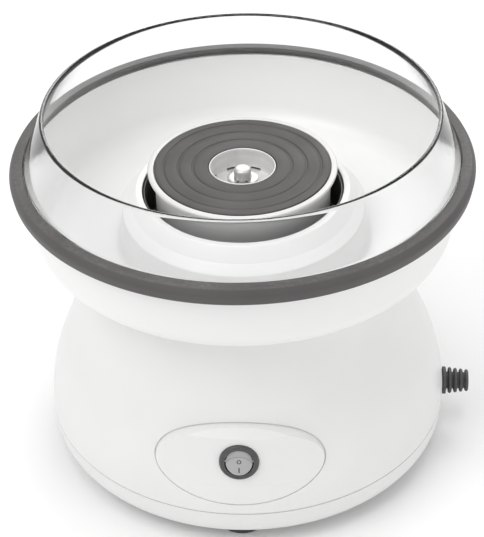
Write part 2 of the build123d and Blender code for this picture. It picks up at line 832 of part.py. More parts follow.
def make_bracket_screws():
    length = deck_bottom - 1.5 - motor_top
    return [
        screw(bracket_screw_radius, 3.6, motor_top, length, 2.2, place, down=False)
        for place in post_places
    ]


def make_cooling_fan():
    low = bracket_top + fan_rise
    high = low + fan_height
    fan = tube(shaft_radius, fan_hub, low - 2, high)
    fan += tube(shaft_radius, fan_radius, low, low + 1.6)
    for i in range(fan_blades):
        place = Pos((fan_hub + fan_radius) / 2 - 0.5, 0, (low + high) / 2 + 0.4)
        blade = Box(fan_radius - fan_hub - 2, 1.4, fan_height - 0.8)
        fan += Rot(0, 0, 360 / fan_blades * i) * place * Rot(0, 0, 24) * blade
    return fan & rod(fan_radius, low - 3, high + 1)


def make_drive_pin():
    return Pos(0, 0, drive_pin_height) * Rot(0, 90, 0) * Cylinder(drive_pin_radius, drive_pin_length)


# ================================================================ heater
def heater_leg_places():
    return [
        (heater_circle * math.cos(angle), heater_circle * math.sin(angle))
        for angle in (math.radians(-heater_gap_angle / 2), math.radians(heater_gap_angle / 2))
    ]


def make_heater_pan():
    """Dark dish of the well, with a collar round the spindle."""
    collar_outer = heater_collar_radius + heater_pan_wall
    collar_top = dish_inside + heater_collar_height
    outline = band(heater_collar_radius, dish_radius, dish_floor, dish_inside)
    outline += band(tower_radius, dish_radius, dish_floor, pedestal_top - heater_pan_drop)
    outline += band(heater_collar_radius, collar_outer, dish_floor, collar_top)
    pan = turned(outline)
    for place in heater_screw_places:
        pan -= rod(heater_screw_radius + screw_gap, dish_floor - 1, dish_inside + 1, place)
    for place in heater_leg_places():
        pan -= rod(heater_bush, dish_floor - 1, dish_inside + 1, place)
    return pan


def make_insulation_ring():
    ring = tube(tower_lip_radius + 2, tower_radius, tower_top, dish_floor)
    for place in heater_screw_places:
        ring -= rod(heater_screw_radius + screw_gap, tower_top - 1, dish_floor + 1, place)
    for place in heater_leg_places():
        ring -= rod(heater_bush, tower_top - 1, dish_floor + 1, place)
    return ring


def make_heater_ring():
    """Sheathed rod bent into an open circle; both ends turn down through the pan."""
    half_gap = heater_gap_angle / 2
    circle = Plane.XZ * Pos(heater_circle, heater_height) * Circle(heater_rod)
    loop = Rot(0, 0, half_gap) * revolve(circle, Axis.Z, revolution_arc=360 - heater_gap_angle)
    if loop.center().X > 0:
        loop = Rot(0, 0, -2 * half_gap) * loop
    for place in heater_leg_places():
        loop += Pos(place[0], place[1], heater_height) * Sphere(heater_rod)
        loop += rod(heater_rod, dish_inside - heater_leg, heater_height, place)
    return loop


def make_heater_bushes():
    """Ceramic bushes that keep the rod's ends off the metal."""
    return [
        tube(heater_rod, heater_bush, shield_bottom, dish_inside + 2, place)
        for place in heater_leg_places()
    ]


def make_heater_holders():
    """Ceramic posts with a saddle for the rod."""
    cradle = Pos(0, 0, heater_height) * Torus(heater_circle, heater_rod)
    return [
        rod(holder_radius, dish_inside, heater_height, place) - cradle
        for place in around(heater_circle, holder_count, 60)
    ]


def make_heat_shield():
    shield = tube(shield_hole, tower_inside - lift_gap, shield_bottom, shield_top)
    for place in heater_screw_places:
        shield -= rod(heater_screw_radius + screw_gap, shield_bottom - 1, shield_top + 1, place)
    for place in heater_leg_places():
        shield -= rod(heater_bush, shield_bottom - 1, shield_top + 1, place)
    return shield


def make_heater_screws():
    return [
        screw(heater_screw_radius, 2.8, dish_inside, 9, 1.6, place)
        for place in heater_screw_places
    ]


def make_heater_nuts():
    nut_height = 2.2
    low = shield_bottom - nut_height
    nuts = []
    for place in heater_screw_places:
        nut = Pos(place[0], place[1], low) * extrude(RegularPolygon(3.1, 6), nut_height)
        nuts.append(nut - rod(heater_screw_radius, low - 1, shield_bottom + 1, place))
    return nuts


def make_thermal_fuse():
    middle = shield_bottom - fuse_radius
    fuse = Pos(*fuse_place, middle) * Rot(0, 90, 0) * Cylinder(fuse_radius, fuse_length)
    return fillet(fuse.edges(), fuse_radius / 4)


# ================================================================ bowl, rim ring and guard
def make_catch_bowl():
    """Bowl with a stepped pedestal round its open well, a locating skirt and a rim flange."""
    corner = (bowl_rim_radius - bowl_corner_lean, neck_top + bowl_corner_rise)
    inside_corner = (corner[0] - bowl_wall, corner[1] + bowl_wall)
    rim_inside = bowl_rim_radius - bowl_wall
    under = pedestal_top - bowl_wall
    lip_end = well_edge + pedestal_lip_width
    shoulder = (well_edge + pedestal_shoulder[0], pedestal_top - pedestal_shoulder[1])
    step = (well_edge + pedestal_corner[0], pedestal_top - pedestal_corner[1])
    foot = well_edge + pedestal_foot
    skirt_outer = neck_radius - wall - lift_gap
    skirt_inner = skirt_outer - bowl_wall
    flange_edge = bowl_rim_radius + bowl_flange
    outline = section(
        (well_edge, pedestal_top), (lip_end, pedestal_top), shoulder, step,
        (foot, bowl_floor), (neck_radius + 1, bowl_floor), inside_corner,
        (rim_inside, bowl_rim_top), (flange_edge, bowl_rim_top), (flange_edge, bowl_flange_low),
        (bowl_rim_radius, bowl_flange_low), corner, (neck_radius + 0.6, bowl_bottom),
        (skirt_outer, bowl_bottom), (skirt_outer, bowl_bottom - bowl_skirt),
        (skirt_inner, bowl_bottom - bowl_skirt), (skirt_inner, bowl_bottom),
        (foot - bowl_wall, bowl_bottom), (step[0] - bowl_wall, step[1] - bowl_wall / 2),
        (shoulder[0] - bowl_wall, shoulder[1] - bowl_wall / 2),
        (lip_end - bowl_wall / 2, under), (well_edge, under),
        rounds=[
            (corner, bowl_corner_round), (inside_corner, bowl_corner_round - bowl_wall),
            ((foot, bowl_floor), 2.0), ((well_edge, pedestal_top), 0.8),
        ],
    )
    return turned(outline)


def make_rim_ring():
    """Dark edging ring that grips the bowl's flange; the guard stands inside it."""
    top = bowl_rim_top + rim_rise
    bottom = bowl_rim_top - rim_drop
    shoulder = (rim_radius - 2.5, top)
    bulge = (rim_radius, top - 4.4)
    heel = (rim_radius - 0.9, bottom)
    flange_edge = bowl_rim_radius + bowl_flange
    outline = section(
        (rim_inner, top), shoulder, bulge, heel, (rim_inner, bottom),
        (rim_inner, bowl_flange_low), (flange_edge, bowl_flange_low),
        (flange_edge, bowl_rim_top), (rim_inner, bowl_rim_top),
        rounds=[((rim_inner, top), 0.8), (shoulder, 1.4), (bulge, 3.0), (heel, 1.2)],
    )
    return turned(outline)


def make_splash_guard():
    """Clear cone with a straight foot inside the rim ring and a rounded top lip."""
    low = bowl_rim_top + lift_gap
    foot_high = low + guard_foot
    top = bowl_rim_top + guard_height
    lip_low = top - 1.2
    outer = rim_inner - guard_lean
    inner = outer - guard_lip
    outline = section(
        (guard_foot_radius, low), (guard_foot_radius, foot_high), (outer, lip_low), (outer, top),
        (inner, top), (inner, lip_low), (guard_foot_radius - guard_wall, foot_high),
        (guard_foot_radius - guard_wall, low),
        rounds=[((outer, top), 0.8), ((inner, top), 0.8), ((guard_foot_radius, foot_high), 1.5)],
    )
    return turned(outline)


# ================================================================ spinning head
def make_head_pan():
    """Deep metal pan of the head, with a flat rim that stands out at its top."""
    inside = head_wall_radius - head_wall
    rim_low = head_top - head_rim_thick
    rim_edge = disc_radius + floss_gap
    wall_top = disc_bottom - floss_gap
    outline = section(
        (hub_sleeve, head_floor), (head_wall_radius, head_floor), (head_wall_radius, rim_low),
        (head_rim_radius, rim_low + 1.2), (head_rim_radius, head_top), (rim_edge, head_top),
        (rim_edge, wall_top), (inside, wall_top), (inside, head_floor_top),
        (hub_sleeve, head_floor_top),
        rounds=[((head_wall_radius, head_floor), 2.5), ((head_rim_radius, head_top), 0.8)],
    )
    pan = turned(outline)
    for place in spacer_places:
        pan -= rod(spacer_rivet, head_floor - 1, head_floor_top + 1, place)
    return pan


def make_head_disc():
    """Top disc of the head: ring grooves, and a hole that the sugar cup fills."""
    disc = tube(cup_outer + cup_disc_gap, disc_radius, disc_bottom, disc_top)
    for radius in disc_steps:
        disc -= tube(radius - step_width / 2, radius + step_width / 2,
                     disc_top - step_depth, disc_top + 1)
    return disc


def make_sugar_cup():
    """Cup that the sugar is poured into, with windows that let it out into the pan."""
    cup_top = disc_top - cup_drop
    outline = section(
        (hub_sleeve, cup_floor - cup_wall), (cup_outer, cup_floor - cup_wall),
        (cup_outer, cup_top), (cup_radius, cup_top), (cup_radius, cup_floor),
        (hub_sleeve, cup_floor),
    )
    cup = turned(outline)
    for i in range(cup_windows):
        window = Pos(cup_radius, 0, cup_floor + cup_window_size[2] / 2) * Box(*cup_window_size)
        cup -= Rot(0, 0, 360 / cup_windows * (i + 0.5)) * window
    return cup


def make_head_hub():
    """Hub that drops on the spindle; its lower end is slotted for the drive pin."""
    outline = section(
        (0, hub_bottom), (hub_flange_radius, hub_bottom), (hub_flange_radius, head_floor),
        (hub_sleeve, head_floor), (hub_sleeve, hub_sleeve_top), (clip_groove, hub_sleeve_top),
        (clip_groove, clip_top), (post_radius, clip_top), (post_radius, post_top),
        (0, post_top),
        rounds=[((post_radius, post_top), 1.6), ((hub_flange_radius, hub_bottom), 1.0)],
    )
    hub = turned(outline)
    hub -= rod(shaft_radius + running_gap, hub_bottom - 1, shaft_top + lift_gap)
    slot_top = drive_pin_height + drive_pin_radius + lift_gap
    slot_height = slot_top - hub_bottom + 1
    slot_size = (drive_pin_length + 2 * lift_gap, 2 * (drive_pin_radius + lift_gap), slot_height)
    return hub - Pos(0, 0, slot_top - slot_height / 2) * Box(*slot_size)


def make_hub_clip():
    """Spring clip round the hub, open towards the front."""
    clip = tube(clip_groove, clip_radius, hub_sleeve_top, clip_top)
    mouth_size = (1.6 * clip_groove, 2 * clip_radius, 4 * clip_thick)
    mouth = Pos(0, -clip_radius, hub_sleeve_top) * Box(*mouth_size)
    clip -= mouth
    return max(clip.solids(), key=lambda part: part.volume)


def make_head_spacers():
    """Posts between the pan's floor and the disc."""
    spacers = []
    for place in spacer_places:
        post = rod(spacer_radius, head_floor_top, disc_bottom, place)
        spacers.append(post + rod(spacer_rivet, head_floor, head_floor_top + 1, place))
    return spacers


# ================================================================ write every node
def main():
    os.makedirs("parts", exist_ok=True)
    save("top_shell", make_top_shell())
    save("bottom_pan", make_bottom_pan())
    save("housing_screws", *make_housing_screws())
    for name, place in zip(("front", "right", "rear", "left"), foot_places):
        save("foot_" + name, make_foot(place))
    save("front_panel", make_front_panel())
    save("switch_bezel", make_switch_bezel())
    save("switch_rocker", make_switch_rocker())
    save("switch_pivot", make_switch_pivot())
    save("switch_terminals", *make_switch_terminals())
    save("strain_relief", make_strain_relief())
    save("cord_clamp", make_cord_clamp())
    save("cord_clamp_screws", *make_cord_clamp_screws())
    save("control_board", make_control_board())
    save("board_capacitor", make_board_capacitor())
    save("board_rectifier", make_board_rectifier())
    save("board_screws", *make_board_screws())
    save("terminal_block", make_terminal_block())
    save("terminal_screws", *make_terminal_screws())
    save("motor_can", make_motor_can())
    save("motor_magnets", *make_motor_magnets())
    save("motor_end_cap", make_motor_end_cap())
    save("upper_bearing", make_bearing(motor_top + bearing_proud - bearing_height))
    save("lower_bearing", make_bearing(motor_bottom - bearing_proud))
    save("brush_holders", *make_brush_holders())
    save("brushes", *make_brushes())
    save("motor_bracket", make_motor_bracket())
    save("motor_screws", *make_motor_screws())
    save("rubber_mounts", *make_rubber_mounts())
    save("bracket_screws", *make_bracket_screws())
    save("motor_shaft", make_motor_shaft())
    save("armature", make_armature())
    save("armature_windings", make_armature_windings())
    save("commutator", make_commutator())
    save("cooling_fan", make_cooling_fan())
    save("drive_pin", make_drive_pin())
    save("heater_pan", make_heater_pan())
    save("insulation_ring", make_insulation_ring())
    save("heater_ring", make_heater_ring())
    save("heater_bushes", *make_heater_bushes())
    save("heater_holders", *make_heater_holders())
    save("heat_shield", make_heat_shield())
    save("heater_screws", *make_heater_screws())
    save("heater_nuts", *make_heater_nuts())
    save("thermal_fuse", make_thermal_fuse())
    save("catch_bowl", make_catch_bowl())
    save("rim_ring", make_rim_ring())
    save("splash_guard", make_splash_guard())
    save("head_pan", make_head_pan())
    save("head_disc", make_head_disc())
    save("sugar_cup", make_sugar_cup())
    save("head_hub", make_head_hub())
    save("hub_clip", make_hub_clip())
    save("head_spacers", *make_head_spacers())


main()
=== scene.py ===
# %% [markdown]
# # A cotton candy machine, made in Blender
# The machine is a round base with a motor and a heater, a white bowl that lifts off, a dark ring
# round the bowl's rim, a clear guard, and a metal head that spins the sugar. A CAD model already
# holds every size and every joint. This script loads it as a fixed frame and gives the machine its
# looks: it models the pieces that the eye meets again, with soft edges, and gives each piece a
# material. Lengths are metres, and +Z is up.

# %% Load the frame
import json
import math

import bpy
from mathutils import Matrix, Vector


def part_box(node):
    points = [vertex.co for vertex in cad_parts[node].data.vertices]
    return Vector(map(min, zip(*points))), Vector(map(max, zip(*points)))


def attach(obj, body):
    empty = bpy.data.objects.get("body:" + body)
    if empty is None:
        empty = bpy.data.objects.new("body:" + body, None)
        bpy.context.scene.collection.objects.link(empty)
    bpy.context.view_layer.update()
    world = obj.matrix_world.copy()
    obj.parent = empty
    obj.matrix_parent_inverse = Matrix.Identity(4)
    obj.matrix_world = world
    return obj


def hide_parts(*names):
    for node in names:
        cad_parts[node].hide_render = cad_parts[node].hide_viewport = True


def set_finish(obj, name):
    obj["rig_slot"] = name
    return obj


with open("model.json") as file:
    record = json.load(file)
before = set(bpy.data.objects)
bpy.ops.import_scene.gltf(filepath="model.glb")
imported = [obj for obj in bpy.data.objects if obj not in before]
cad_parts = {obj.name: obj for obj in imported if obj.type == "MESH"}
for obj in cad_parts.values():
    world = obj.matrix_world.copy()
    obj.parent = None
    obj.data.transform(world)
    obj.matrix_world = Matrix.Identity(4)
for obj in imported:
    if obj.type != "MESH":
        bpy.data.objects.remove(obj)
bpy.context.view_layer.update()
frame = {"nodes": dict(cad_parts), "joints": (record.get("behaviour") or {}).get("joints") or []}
nodes = frame["nodes"]

# %% [markdown]
# ## The camera
# The camera comes first, because every later choice is judged through it. It looks down at the
# machine from the front, a little to the right of the switch. A long lens keeps the circles from
# bulging. The view direction is built from plain angles: first where the camera stands, then a
# small pan, then a small roll. A camera looks along its own -Z, so the third column of its matrix
# is the backward direction.

# %% Camera
view_side = math.radians(3.0)
view_rise = math.radians(36.0)
view_pan = math.radians(-0.10)
view_roll = math.radians(-1.48)
view_distance = 1.0828
aim = Vector((0, 0, 0.1183))

outward = Vector((math.sin(view_side) * math.cos(view_rise),
                  -math.cos(view_side) * math.cos(view_rise), math.sin(view_rise)))
ahead = -outward
level_right = Vector((math.cos(view_side), math.sin(view_side), 0))
level_up = level_right.cross(ahead)
ahead_panned = ahead * math.cos(view_pan) + level_right * math.sin(view_pan)
right_panned = level_right * math.cos(view_pan) - ahead * math.sin(view_pan)
right = right_panned * math.cos(view_roll) + level_up * math.sin(view_roll)
up = level_up * math.cos(view_roll) - right_panned * math.sin(view_roll)

camera_data = bpy.data.cameras.new("camera")
camera_data.lens = 115.32
camera_data.sensor_width = 36.0
camera = bpy.data.objects.new("camera", camera_data)
bpy.context.scene.collection.objects.link(camera)
turn = Matrix((right, up, -ahead_panned)).transposed().to_4x4()
camera.matrix_world = Matrix.Translation(aim + outward * view_distance) @ turn
bpy.context.scene.camera = camera
print("camera at", [round(c, 3) for c in camera.matrix_world.translation])

# %% [markdown]
# ## Helpers for modelling
# Most of this machine is round, so most of its pieces are turned shapes. By hand, one adds a
# circle, and then extrudes its edge again and again: each extrusion is moved up or down and scaled
# to the next radius. The helper below does just that. At its ends the profile either closes into
# a ring, or shrinks to a pole on the axis. Nothing may be selected before a primitive is added, or
# the operators would act on the CAD pieces too.

# %% Turned shapes
smooth_below = math.radians(40)


def start_clean():
    """Leave edit mode and deselect everything."""
    if bpy.context.object and bpy.context.object.mode != "OBJECT":
        bpy.ops.object.mode_set(mode="OBJECT")
    bpy.ops.object.select_all(action="DESELECT")


def turn_profile(name, profile, segments=128, poles=False):
    """Extrude a circle along (radius, height) pairs; join the two ends, or shrink them to poles."""
    start_clean()
    radius, height = profile[0]
    bpy.ops.mesh.primitive_circle_add(vertices=segments, radius=radius, location=(0, 0, height))
    piece = bpy.context.object
    piece.name = name
    bpy.ops.object.transform_apply(location=True, rotation=True, scale=True)
    bpy.ops.object.mode_set(mode="EDIT")
    bpy.ops.mesh.select_mode(type="EDGE")
    bpy.ops.mesh.select_all(action="SELECT")
    for (radius_a, height_a), (radius_b, height_b) in zip(profile, profile[1:]):
        bpy.ops.mesh.extrude_edges_move(
            TRANSFORM_OT_translate={"value": (0, 0, height_b - height_a)})
        share = radius_b / radius_a
        bpy.ops.transform.resize(value=(share, share, 1), center_override=(0, 0, height_b))
    if poles:
        bpy.ops.mesh.merge(type="CENTER")
        bpy.ops.mesh.select_mode(type="VERT")
        bpy.ops.mesh.select_all(action="DESELECT")
        bpy.ops.object.mode_set(mode="OBJECT")
        for vertex in piece.data.vertices:
            vertex.select = vertex.index < segments
        bpy.ops.object.mode_set(mode="EDIT")
        bpy.ops.mesh.merge(type="CENTER")
    else:
        bpy.ops.mesh.select_all(action="DESELECT")
        bpy.ops.mesh.select_non_manifold(extend=False, use_wire=False, use_multi_face=False,
                                         use_non_contiguous=False, use_verts=False)
        bpy.ops.mesh.bridge_edge_loops()
    bpy.ops.mesh.select_all(action="SELECT")
    bpy.ops.mesh.remove_doubles(threshold=1e-7)
    bpy.ops.mesh.normals_make_consistent(inside=False)
    bpy.ops.object.mode_set(mode="OBJECT")
    return piece


def soften(piece, width, segments=3, angle=24):
    """Round the sharp edges with a Bevel modifier, apply it and shade the piece smooth."""
    start_clean()
    piece.select_set(True)
    bpy.context.view_layer.objects.active = piece
    bevel = piece.modifiers.new("soft_edges", "BEVEL")
    bevel.width = width
    bevel.segments = segments
    bevel.limit_method = "ANGLE"
    bevel.angle_limit = math.radians(angle)
    bevel.use_clamp_overlap = True
    bpy.ops.object.modifier_apply(modifier=bevel.name)
    bpy.ops.object.shade_smooth_by_angle(angle=smooth_below)
    print(piece.name, "faces", len(piece.data.polygons))
    return piece


def place_by(piece, matrix):
    """Move the mesh itself, so that the object stays at the origin."""
    piece.data.transform(matrix)
    piece.data.update()


def cut_away(piece, cutter):
    """Take the cutter out of the piece with a Boolean modifier, and delete the cutter."""
    modifier = piece.modifiers.new("cut", "BOOLEAN")
    modifier.object = cutter
    modifier.operation = "DIFFERENCE"
    start_clean()
    piece.select_set(True)
    bpy.context.view_layer.objects.active = piece
    bpy.ops.object.modifier_apply(modifier=modifier.name)
    bpy.data.objects.remove(cutter)


# %% [markdown]
# ## Sizes that come from the frame
# Every main size is read from the CAD pieces' boxes, so that the modelled pieces lie exactly where
# the CAD ones do. Only small things, such as wall thicknesses, are given here by their own names.

# %% Main sizes
MM = 0.001
rim_low, rim_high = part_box("rim_ring")
guard_low, guard_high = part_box("splash_guard")
bowl_low, bowl_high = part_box("catch_bowl")
pan_low, pan_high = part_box("head_pan")
disc_low, disc_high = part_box("head_disc")
cup_low, cup_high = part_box("sugar_cup")
clip_low, clip_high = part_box("hub_clip")
dish_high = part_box("heater_pan")[1]
rim_radius = rim_high.x
print("rim ring radius", round(rim_radius, 4), "guard top", round(guard_high.z, 4))

# %% [markdown]
# ## Round corners inside a profile
# A bevel is right for small edges. A large rounded corner, such as the one between the bowl's side
# and its bottom, is better drawn in the profile itself. The helper takes the corner and its two
# neighbours, finds the circle that touches both straight lines, and returns points along the arc.

# %% Arc through a corner
def round_corner(before, corner, after, radius, steps=8):
    """Points of an arc of this radius that replaces the corner between two straight runs."""
    here = Vector(corner)
    back = (Vector(before) - here).normalized()
    on = (Vector(after) - here).normalized()
    half = back.angle(on) / 2
    start = here + back * (radius / math.tan(half))
    end = here + on * (radius / math.tan(half))
    middle = here + (back + on).normalized() * (radius / math.sin(half))
    first, last = start - middle, end - middle
    swing = first.angle_signed(last)
    points = []
    for step in range(steps + 1):
        angle = -swing * step / steps
        cosine, sine = math.cos(angle), math.sin(angle)
        spoke = Vector((first.x * cosine - first.y * sine, first.x * sine + first.y * cosine))
        points.append(tuple(middle + spoke))
    return points


def bead(centre, radius, start, end, steps=10):
    """Points of an arc in a profile, by its centre, radius and two angles in degrees."""
    angles = [math.radians(start + (end - start) * i / steps) for i in range(steps + 1)]
    return [(centre[0] + radius * math.cos(a), centre[1] + radius * math.sin(a)) for a in angles]


print("a quarter bead ends at", [round(value, 3) for value in bead((0, 0), 1, 0, 90)[-1]])


# %% [markdown]
# ## The rim ring
# On the real machine this is a soft dark edging pressed over the bowl's flange. It is a ring with a
# flat top, a rounded outer side and a straight inner side that the guard stands in. It could be a
# torus primitive, but a torus has no flat top, so the ring is turned from its own section.

# %% Rim ring
rim_inner = guard_high.x + 0.3 * MM
rim_top, rim_bottom = rim_high.z, rim_low.z
rim_shoulder = (rim_radius - 2.3 * MM, rim_top)
rim_side = (rim_radius, rim_top - 4.2 * MM)
rim_foot = (rim_radius - 1.0 * MM, rim_bottom)
rim_profile = [(rim_inner, rim_bottom), (rim_inner, rim_top)]
rim_profile += round_corner((rim_inner, rim_top), rim_shoulder, rim_side, 1.6 * MM, steps=4)
rim_profile += round_corner(rim_shoulder, rim_side, rim_foot, 4.0 * MM, steps=5)
rim_profile += [rim_foot]
rim_ring = soften(turn_profile("rim_edging", rim_profile, segments=192), 0.45 * MM)
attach(rim_ring, "bowl")
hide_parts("rim_ring")
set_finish(rim_ring, "rim_dark")

# %% [markdown]
# ## The clear guard
# The guard keeps the floss from flying out. It is a cone of clear plastic with a straight foot and
# a rolled lip. Glass and clear plastic need a real thickness in Blender, because light bends once
# going in and once coming out. So the profile goes up the outside, over the lip as a round bead,
# and down the inside.

# %% Splash guard
guard_foot = guard_high.x
guard_wall = 2.2 * MM
guard_bottom = guard_low.z
foot_top = guard_bottom + 3.8 * MM
lip_bead = 1.35 * MM
lip_middle = (guard_foot - 13.5 * MM, guard_high.z - lip_bead)
foot_bend = 3 * MM
inside_foot = guard_foot - guard_wall
guard_profile = [(guard_foot, guard_bottom)]
guard_profile += round_corner((guard_foot, guard_bottom), (guard_foot, foot_top),
                              (lip_middle[0] + lip_bead, lip_middle[1]), foot_bend, steps=4)
guard_profile += bead(lip_middle, lip_bead, 5, 175, steps=10)
guard_profile += [(lip_middle[0] - lip_bead + 0.25 * MM, lip_middle[1] - 2.2 * MM)]
guard_profile += round_corner((lip_middle[0] - lip_bead, lip_middle[1]), (inside_foot, foot_top),
                              (inside_foot, guard_bottom), foot_bend, steps=4)
guard_profile += [(inside_foot, guard_bottom)]
guard = soften(turn_profile("clear_guard", guard_profile, segments=192), 0.35 * MM, angle=50)
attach(guard, "guard")
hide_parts("splash_guard")
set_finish(guard, "clear_guard")

# %% [markdown]
# ## The bowl
# The bowl catches the floss. In its middle a stepped pedestal rises round an open well, in which
# the head turns. All of it is one moulding with a wall of 2.2 mm. The profile starts at the well's
# edge, goes down the pedestal, across the floor and up the side, turns over the rim's flange, and
# comes back along the underside.

# %% Catch bowl
bowl_wall = 2.2 * MM
bowl_top = bowl_high.z
bowl_skirt = 4.0 * MM
flange_edge = bowl_high.x
side_radius = flange_edge - 4.7 * MM
skirt_low = bowl_low.z
under = skirt_low + bowl_skirt
floor_high = under + bowl_wall
well_edge = dish_high.x + 0.8 * MM
pedestal_top = dish_high.z + 1.6 * MM
skirt_outer = well_edge + 36.5 * MM
neck_outer = skirt_outer + 3.3 * MM
corner = (side_radius - 4.2 * MM, under + 7.8 * MM)
inner_corner = (corner[0] - bowl_wall, corner[1] + bowl_wall)
shoulder = (well_edge + 8.8 * MM, pedestal_top - 7.8 * MM)
step = (well_edge + 13.9 * MM, pedestal_top - 12.5 * MM)
pedestal_foot = (well_edge + 15.2 * MM, floor_high)
flat_end = (neck_outer, floor_high)
inside_top = (side_radius - bowl_wall, bowl_top)
lip_end = (well_edge + 3.8 * MM, pedestal_top)
flat_start = (neck_outer + 0.2 * MM, under)
thinning = 1.1 * MM

bowl_profile = [(well_edge, pedestal_top - bowl_wall), (well_edge, pedestal_top)]
bowl_profile += round_corner((well_edge, pedestal_top), lip_end, shoulder, 0.9 * MM, steps=3)
bowl_profile += round_corner(lip_end, shoulder, step, 1.2 * MM, steps=3)
bowl_profile += round_corner(shoulder, step, pedestal_foot, 1.4 * MM, steps=4)
bowl_profile += round_corner(step, pedestal_foot, flat_end, 3.5 * MM, steps=5)
bowl_profile += round_corner(pedestal_foot, flat_end, inner_corner, 30 * MM, steps=4)
bowl_profile += round_corner(flat_end, inner_corner, inside_top, 14 * MM, steps=9)
bowl_profile += [inside_top, (flange_edge, bowl_top), (flange_edge, bowl_top - bowl_wall)]
bowl_profile += [(side_radius, bowl_top - bowl_wall)]
bowl_profile += round_corner((side_radius, bowl_top - bowl_wall), corner, flat_start, 16 * MM,
                             steps=9)
bowl_profile += [flat_start, (skirt_outer, under), (skirt_outer, skirt_low)]
bowl_profile += [(skirt_outer - bowl_wall, skirt_low), (skirt_outer - bowl_wall, under)]
bowl_profile += [(pedestal_foot[0] - bowl_wall, under), (step[0] - bowl_wall, step[1] - thinning)]
bowl_profile += [(shoulder[0] - bowl_wall, shoulder[1] - thinning)]
bowl_profile += [(well_edge + 2.7 * MM, pedestal_top - bowl_wall)]
bowl = soften(turn_profile("bowl_moulding", bowl_profile, segments=192), 0.4 * MM, angle=40)
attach(bowl, "bowl")
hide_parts("catch_bowl")
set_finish(bowl, "bowl_white")

# %% [markdown]
# ## The head
# The head is the part that spins. A spun metal pan holds the melted sugar, and a dark disc lies in
# its mouth with a narrow slot all round, where the threads fly out. The disc has rolled rings, so
# its profile dips at each one. The sugar is poured into the cup in the middle.

# %% Head pan
pan_wall = 1.5 * MM
rim_edge = disc_high.x + 0.5 * MM
wall_outer = disc_high.x - 0.1 * MM
pan_top = pan_high.z
rim_under = pan_top - 3.5 * MM
wall_inner = wall_outer - pan_wall
hole = 7.05 * MM
pan_floor = pan_low.z + 1.2 * MM
disc_seat = disc_low.z - 0.5 * MM
pan_profile = [(hole, pan_low.z)]
pan_profile += round_corner((hole, pan_low.z), (wall_outer, pan_low.z), (wall_outer, rim_under),
                            2.5 * MM, steps=5)
pan_profile += [(wall_outer, rim_under - 0.6 * MM), (pan_high.x - 0.6 * MM, rim_under + 0.8 * MM)]
pan_profile += bead((pan_high.x - 0.9 * MM, pan_top - 0.9 * MM), 0.9 * MM, 0, 90, steps=5)
pan_profile += [(rim_edge + 0.2 * MM, pan_top), (rim_edge, pan_top - 0.25 * MM)]
pan_profile += [(rim_edge, disc_seat), (wall_inner, disc_seat)]
pan_profile += round_corner((wall_inner, rim_under), (wall_inner, pan_floor), (hole, pan_floor),
                            1.6 * MM, steps=4)
pan_profile += [(hole, pan_floor)]
head_pan = soften(turn_profile("spun_pan", pan_profile, segments=160), 0.2 * MM, angle=45)
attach(head_pan, "head")
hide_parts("head_pan")
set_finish(head_pan, "head_metal")

# %% [markdown]
# The disc's rings are shallow steps. Each one is three more points in the profile, and the disc
# falls a little towards the middle at each.

# %% Head disc with rolled rings
disc_top = disc_high.z
ring_places = [47.7 * MM, 38.8 * MM, 30.0 * MM]
ring_half = 1.0 * MM
ring_depth = 0.55 * MM
fall = 0.12 * MM
disc_inner = cup_high.x + 0.4 * MM
disc_edge = disc_high.x
disc_profile = [(disc_inner, disc_low.z), (disc_edge - 0.3 * MM, disc_low.z)]
disc_profile += bead((disc_edge - 0.7 * MM, disc_top - 0.7 * MM), 0.7 * MM, 0, 90, steps=5)
level = disc_top
for place in ring_places:
    disc_profile += [(place + ring_half, level), (place + ring_half * 0.5, level - ring_depth)]
    disc_profile += [(place - ring_half * 0.3, level - ring_depth)]
    level -= fall
    disc_profile += [(place - ring_half, level)]
disc_profile += bead((disc_inner + 0.5 * MM, level - 0.5 * MM), 0.5 * MM, 90, 180, steps=4)
head_disc = soften(turn_profile("ringed_disc", disc_profile, segments=160), 0.16 * MM, angle=20)
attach(head_disc, "head")
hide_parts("head_disc")
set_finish(head_disc, "disc_dark")

# %% [markdown]
# The cup has small windows near its floor, which let the sugar out into the pan. They are cut with
# a Boolean modifier: one small block is modelled, copied round the circle, and joined into a single
# cutter. The cutter is deleted once the modifier is applied.

# %% Sugar cup
cup_outer = cup_high.x
cup_wall = 0.9 * MM
cup_inner = cup_outer - cup_wall
cup_top = cup_high.z
cup_profile = [(hole, cup_low.z)]
cup_profile += round_corner((hole, cup_low.z), (cup_outer, cup_low.z), (cup_outer, cup_top),
                            1.2 * MM, steps=4)
cup_profile += bead((cup_outer - cup_wall / 2, cup_top - cup_wall / 2), cup_wall / 2, 0, 180,
                    steps=6)
cup_profile += round_corner((cup_inner, cup_top), (cup_inner, cup_low.z + cup_wall),
                            (hole, cup_low.z + cup_wall), 0.4 * MM, steps=3)
cup_profile += [(hole, cup_low.z + cup_wall)]
cup = turn_profile("cup_pressing", cup_profile, segments=128)

window_count = 8
window_size = (4 * MM, 6.5 * MM, 1.3 * MM)
window_middle = cup_low.z + 1.55 * MM
start_clean()
bpy.ops.mesh.primitive_cube_add(size=1, location=(cup_inner, 0, window_middle))
block = bpy.context.object
block.scale = window_size
bpy.ops.object.transform_apply(location=True, rotation=True, scale=True)
copies = [block]
for i in range(1, window_count):
    copy = block.copy()
    copy.data = block.data.copy()
    bpy.context.scene.collection.objects.link(copy)
    copies.append(copy)
for i, copy in enumerate(copies):
    place_by(copy, Matrix.Rotation(math.radians(360 / window_count * (i + 0.5)), 4, "Z"))
    copy.select_set(True)
bpy.context.view_layer.objects.active = block
bpy.ops.object.join()
cut_away(cup, block)
soften(cup, 0.12 * MM, segments=2, angle=50)
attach(cup, "head")
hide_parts("sugar_cup")
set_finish(cup, "cup_metal")

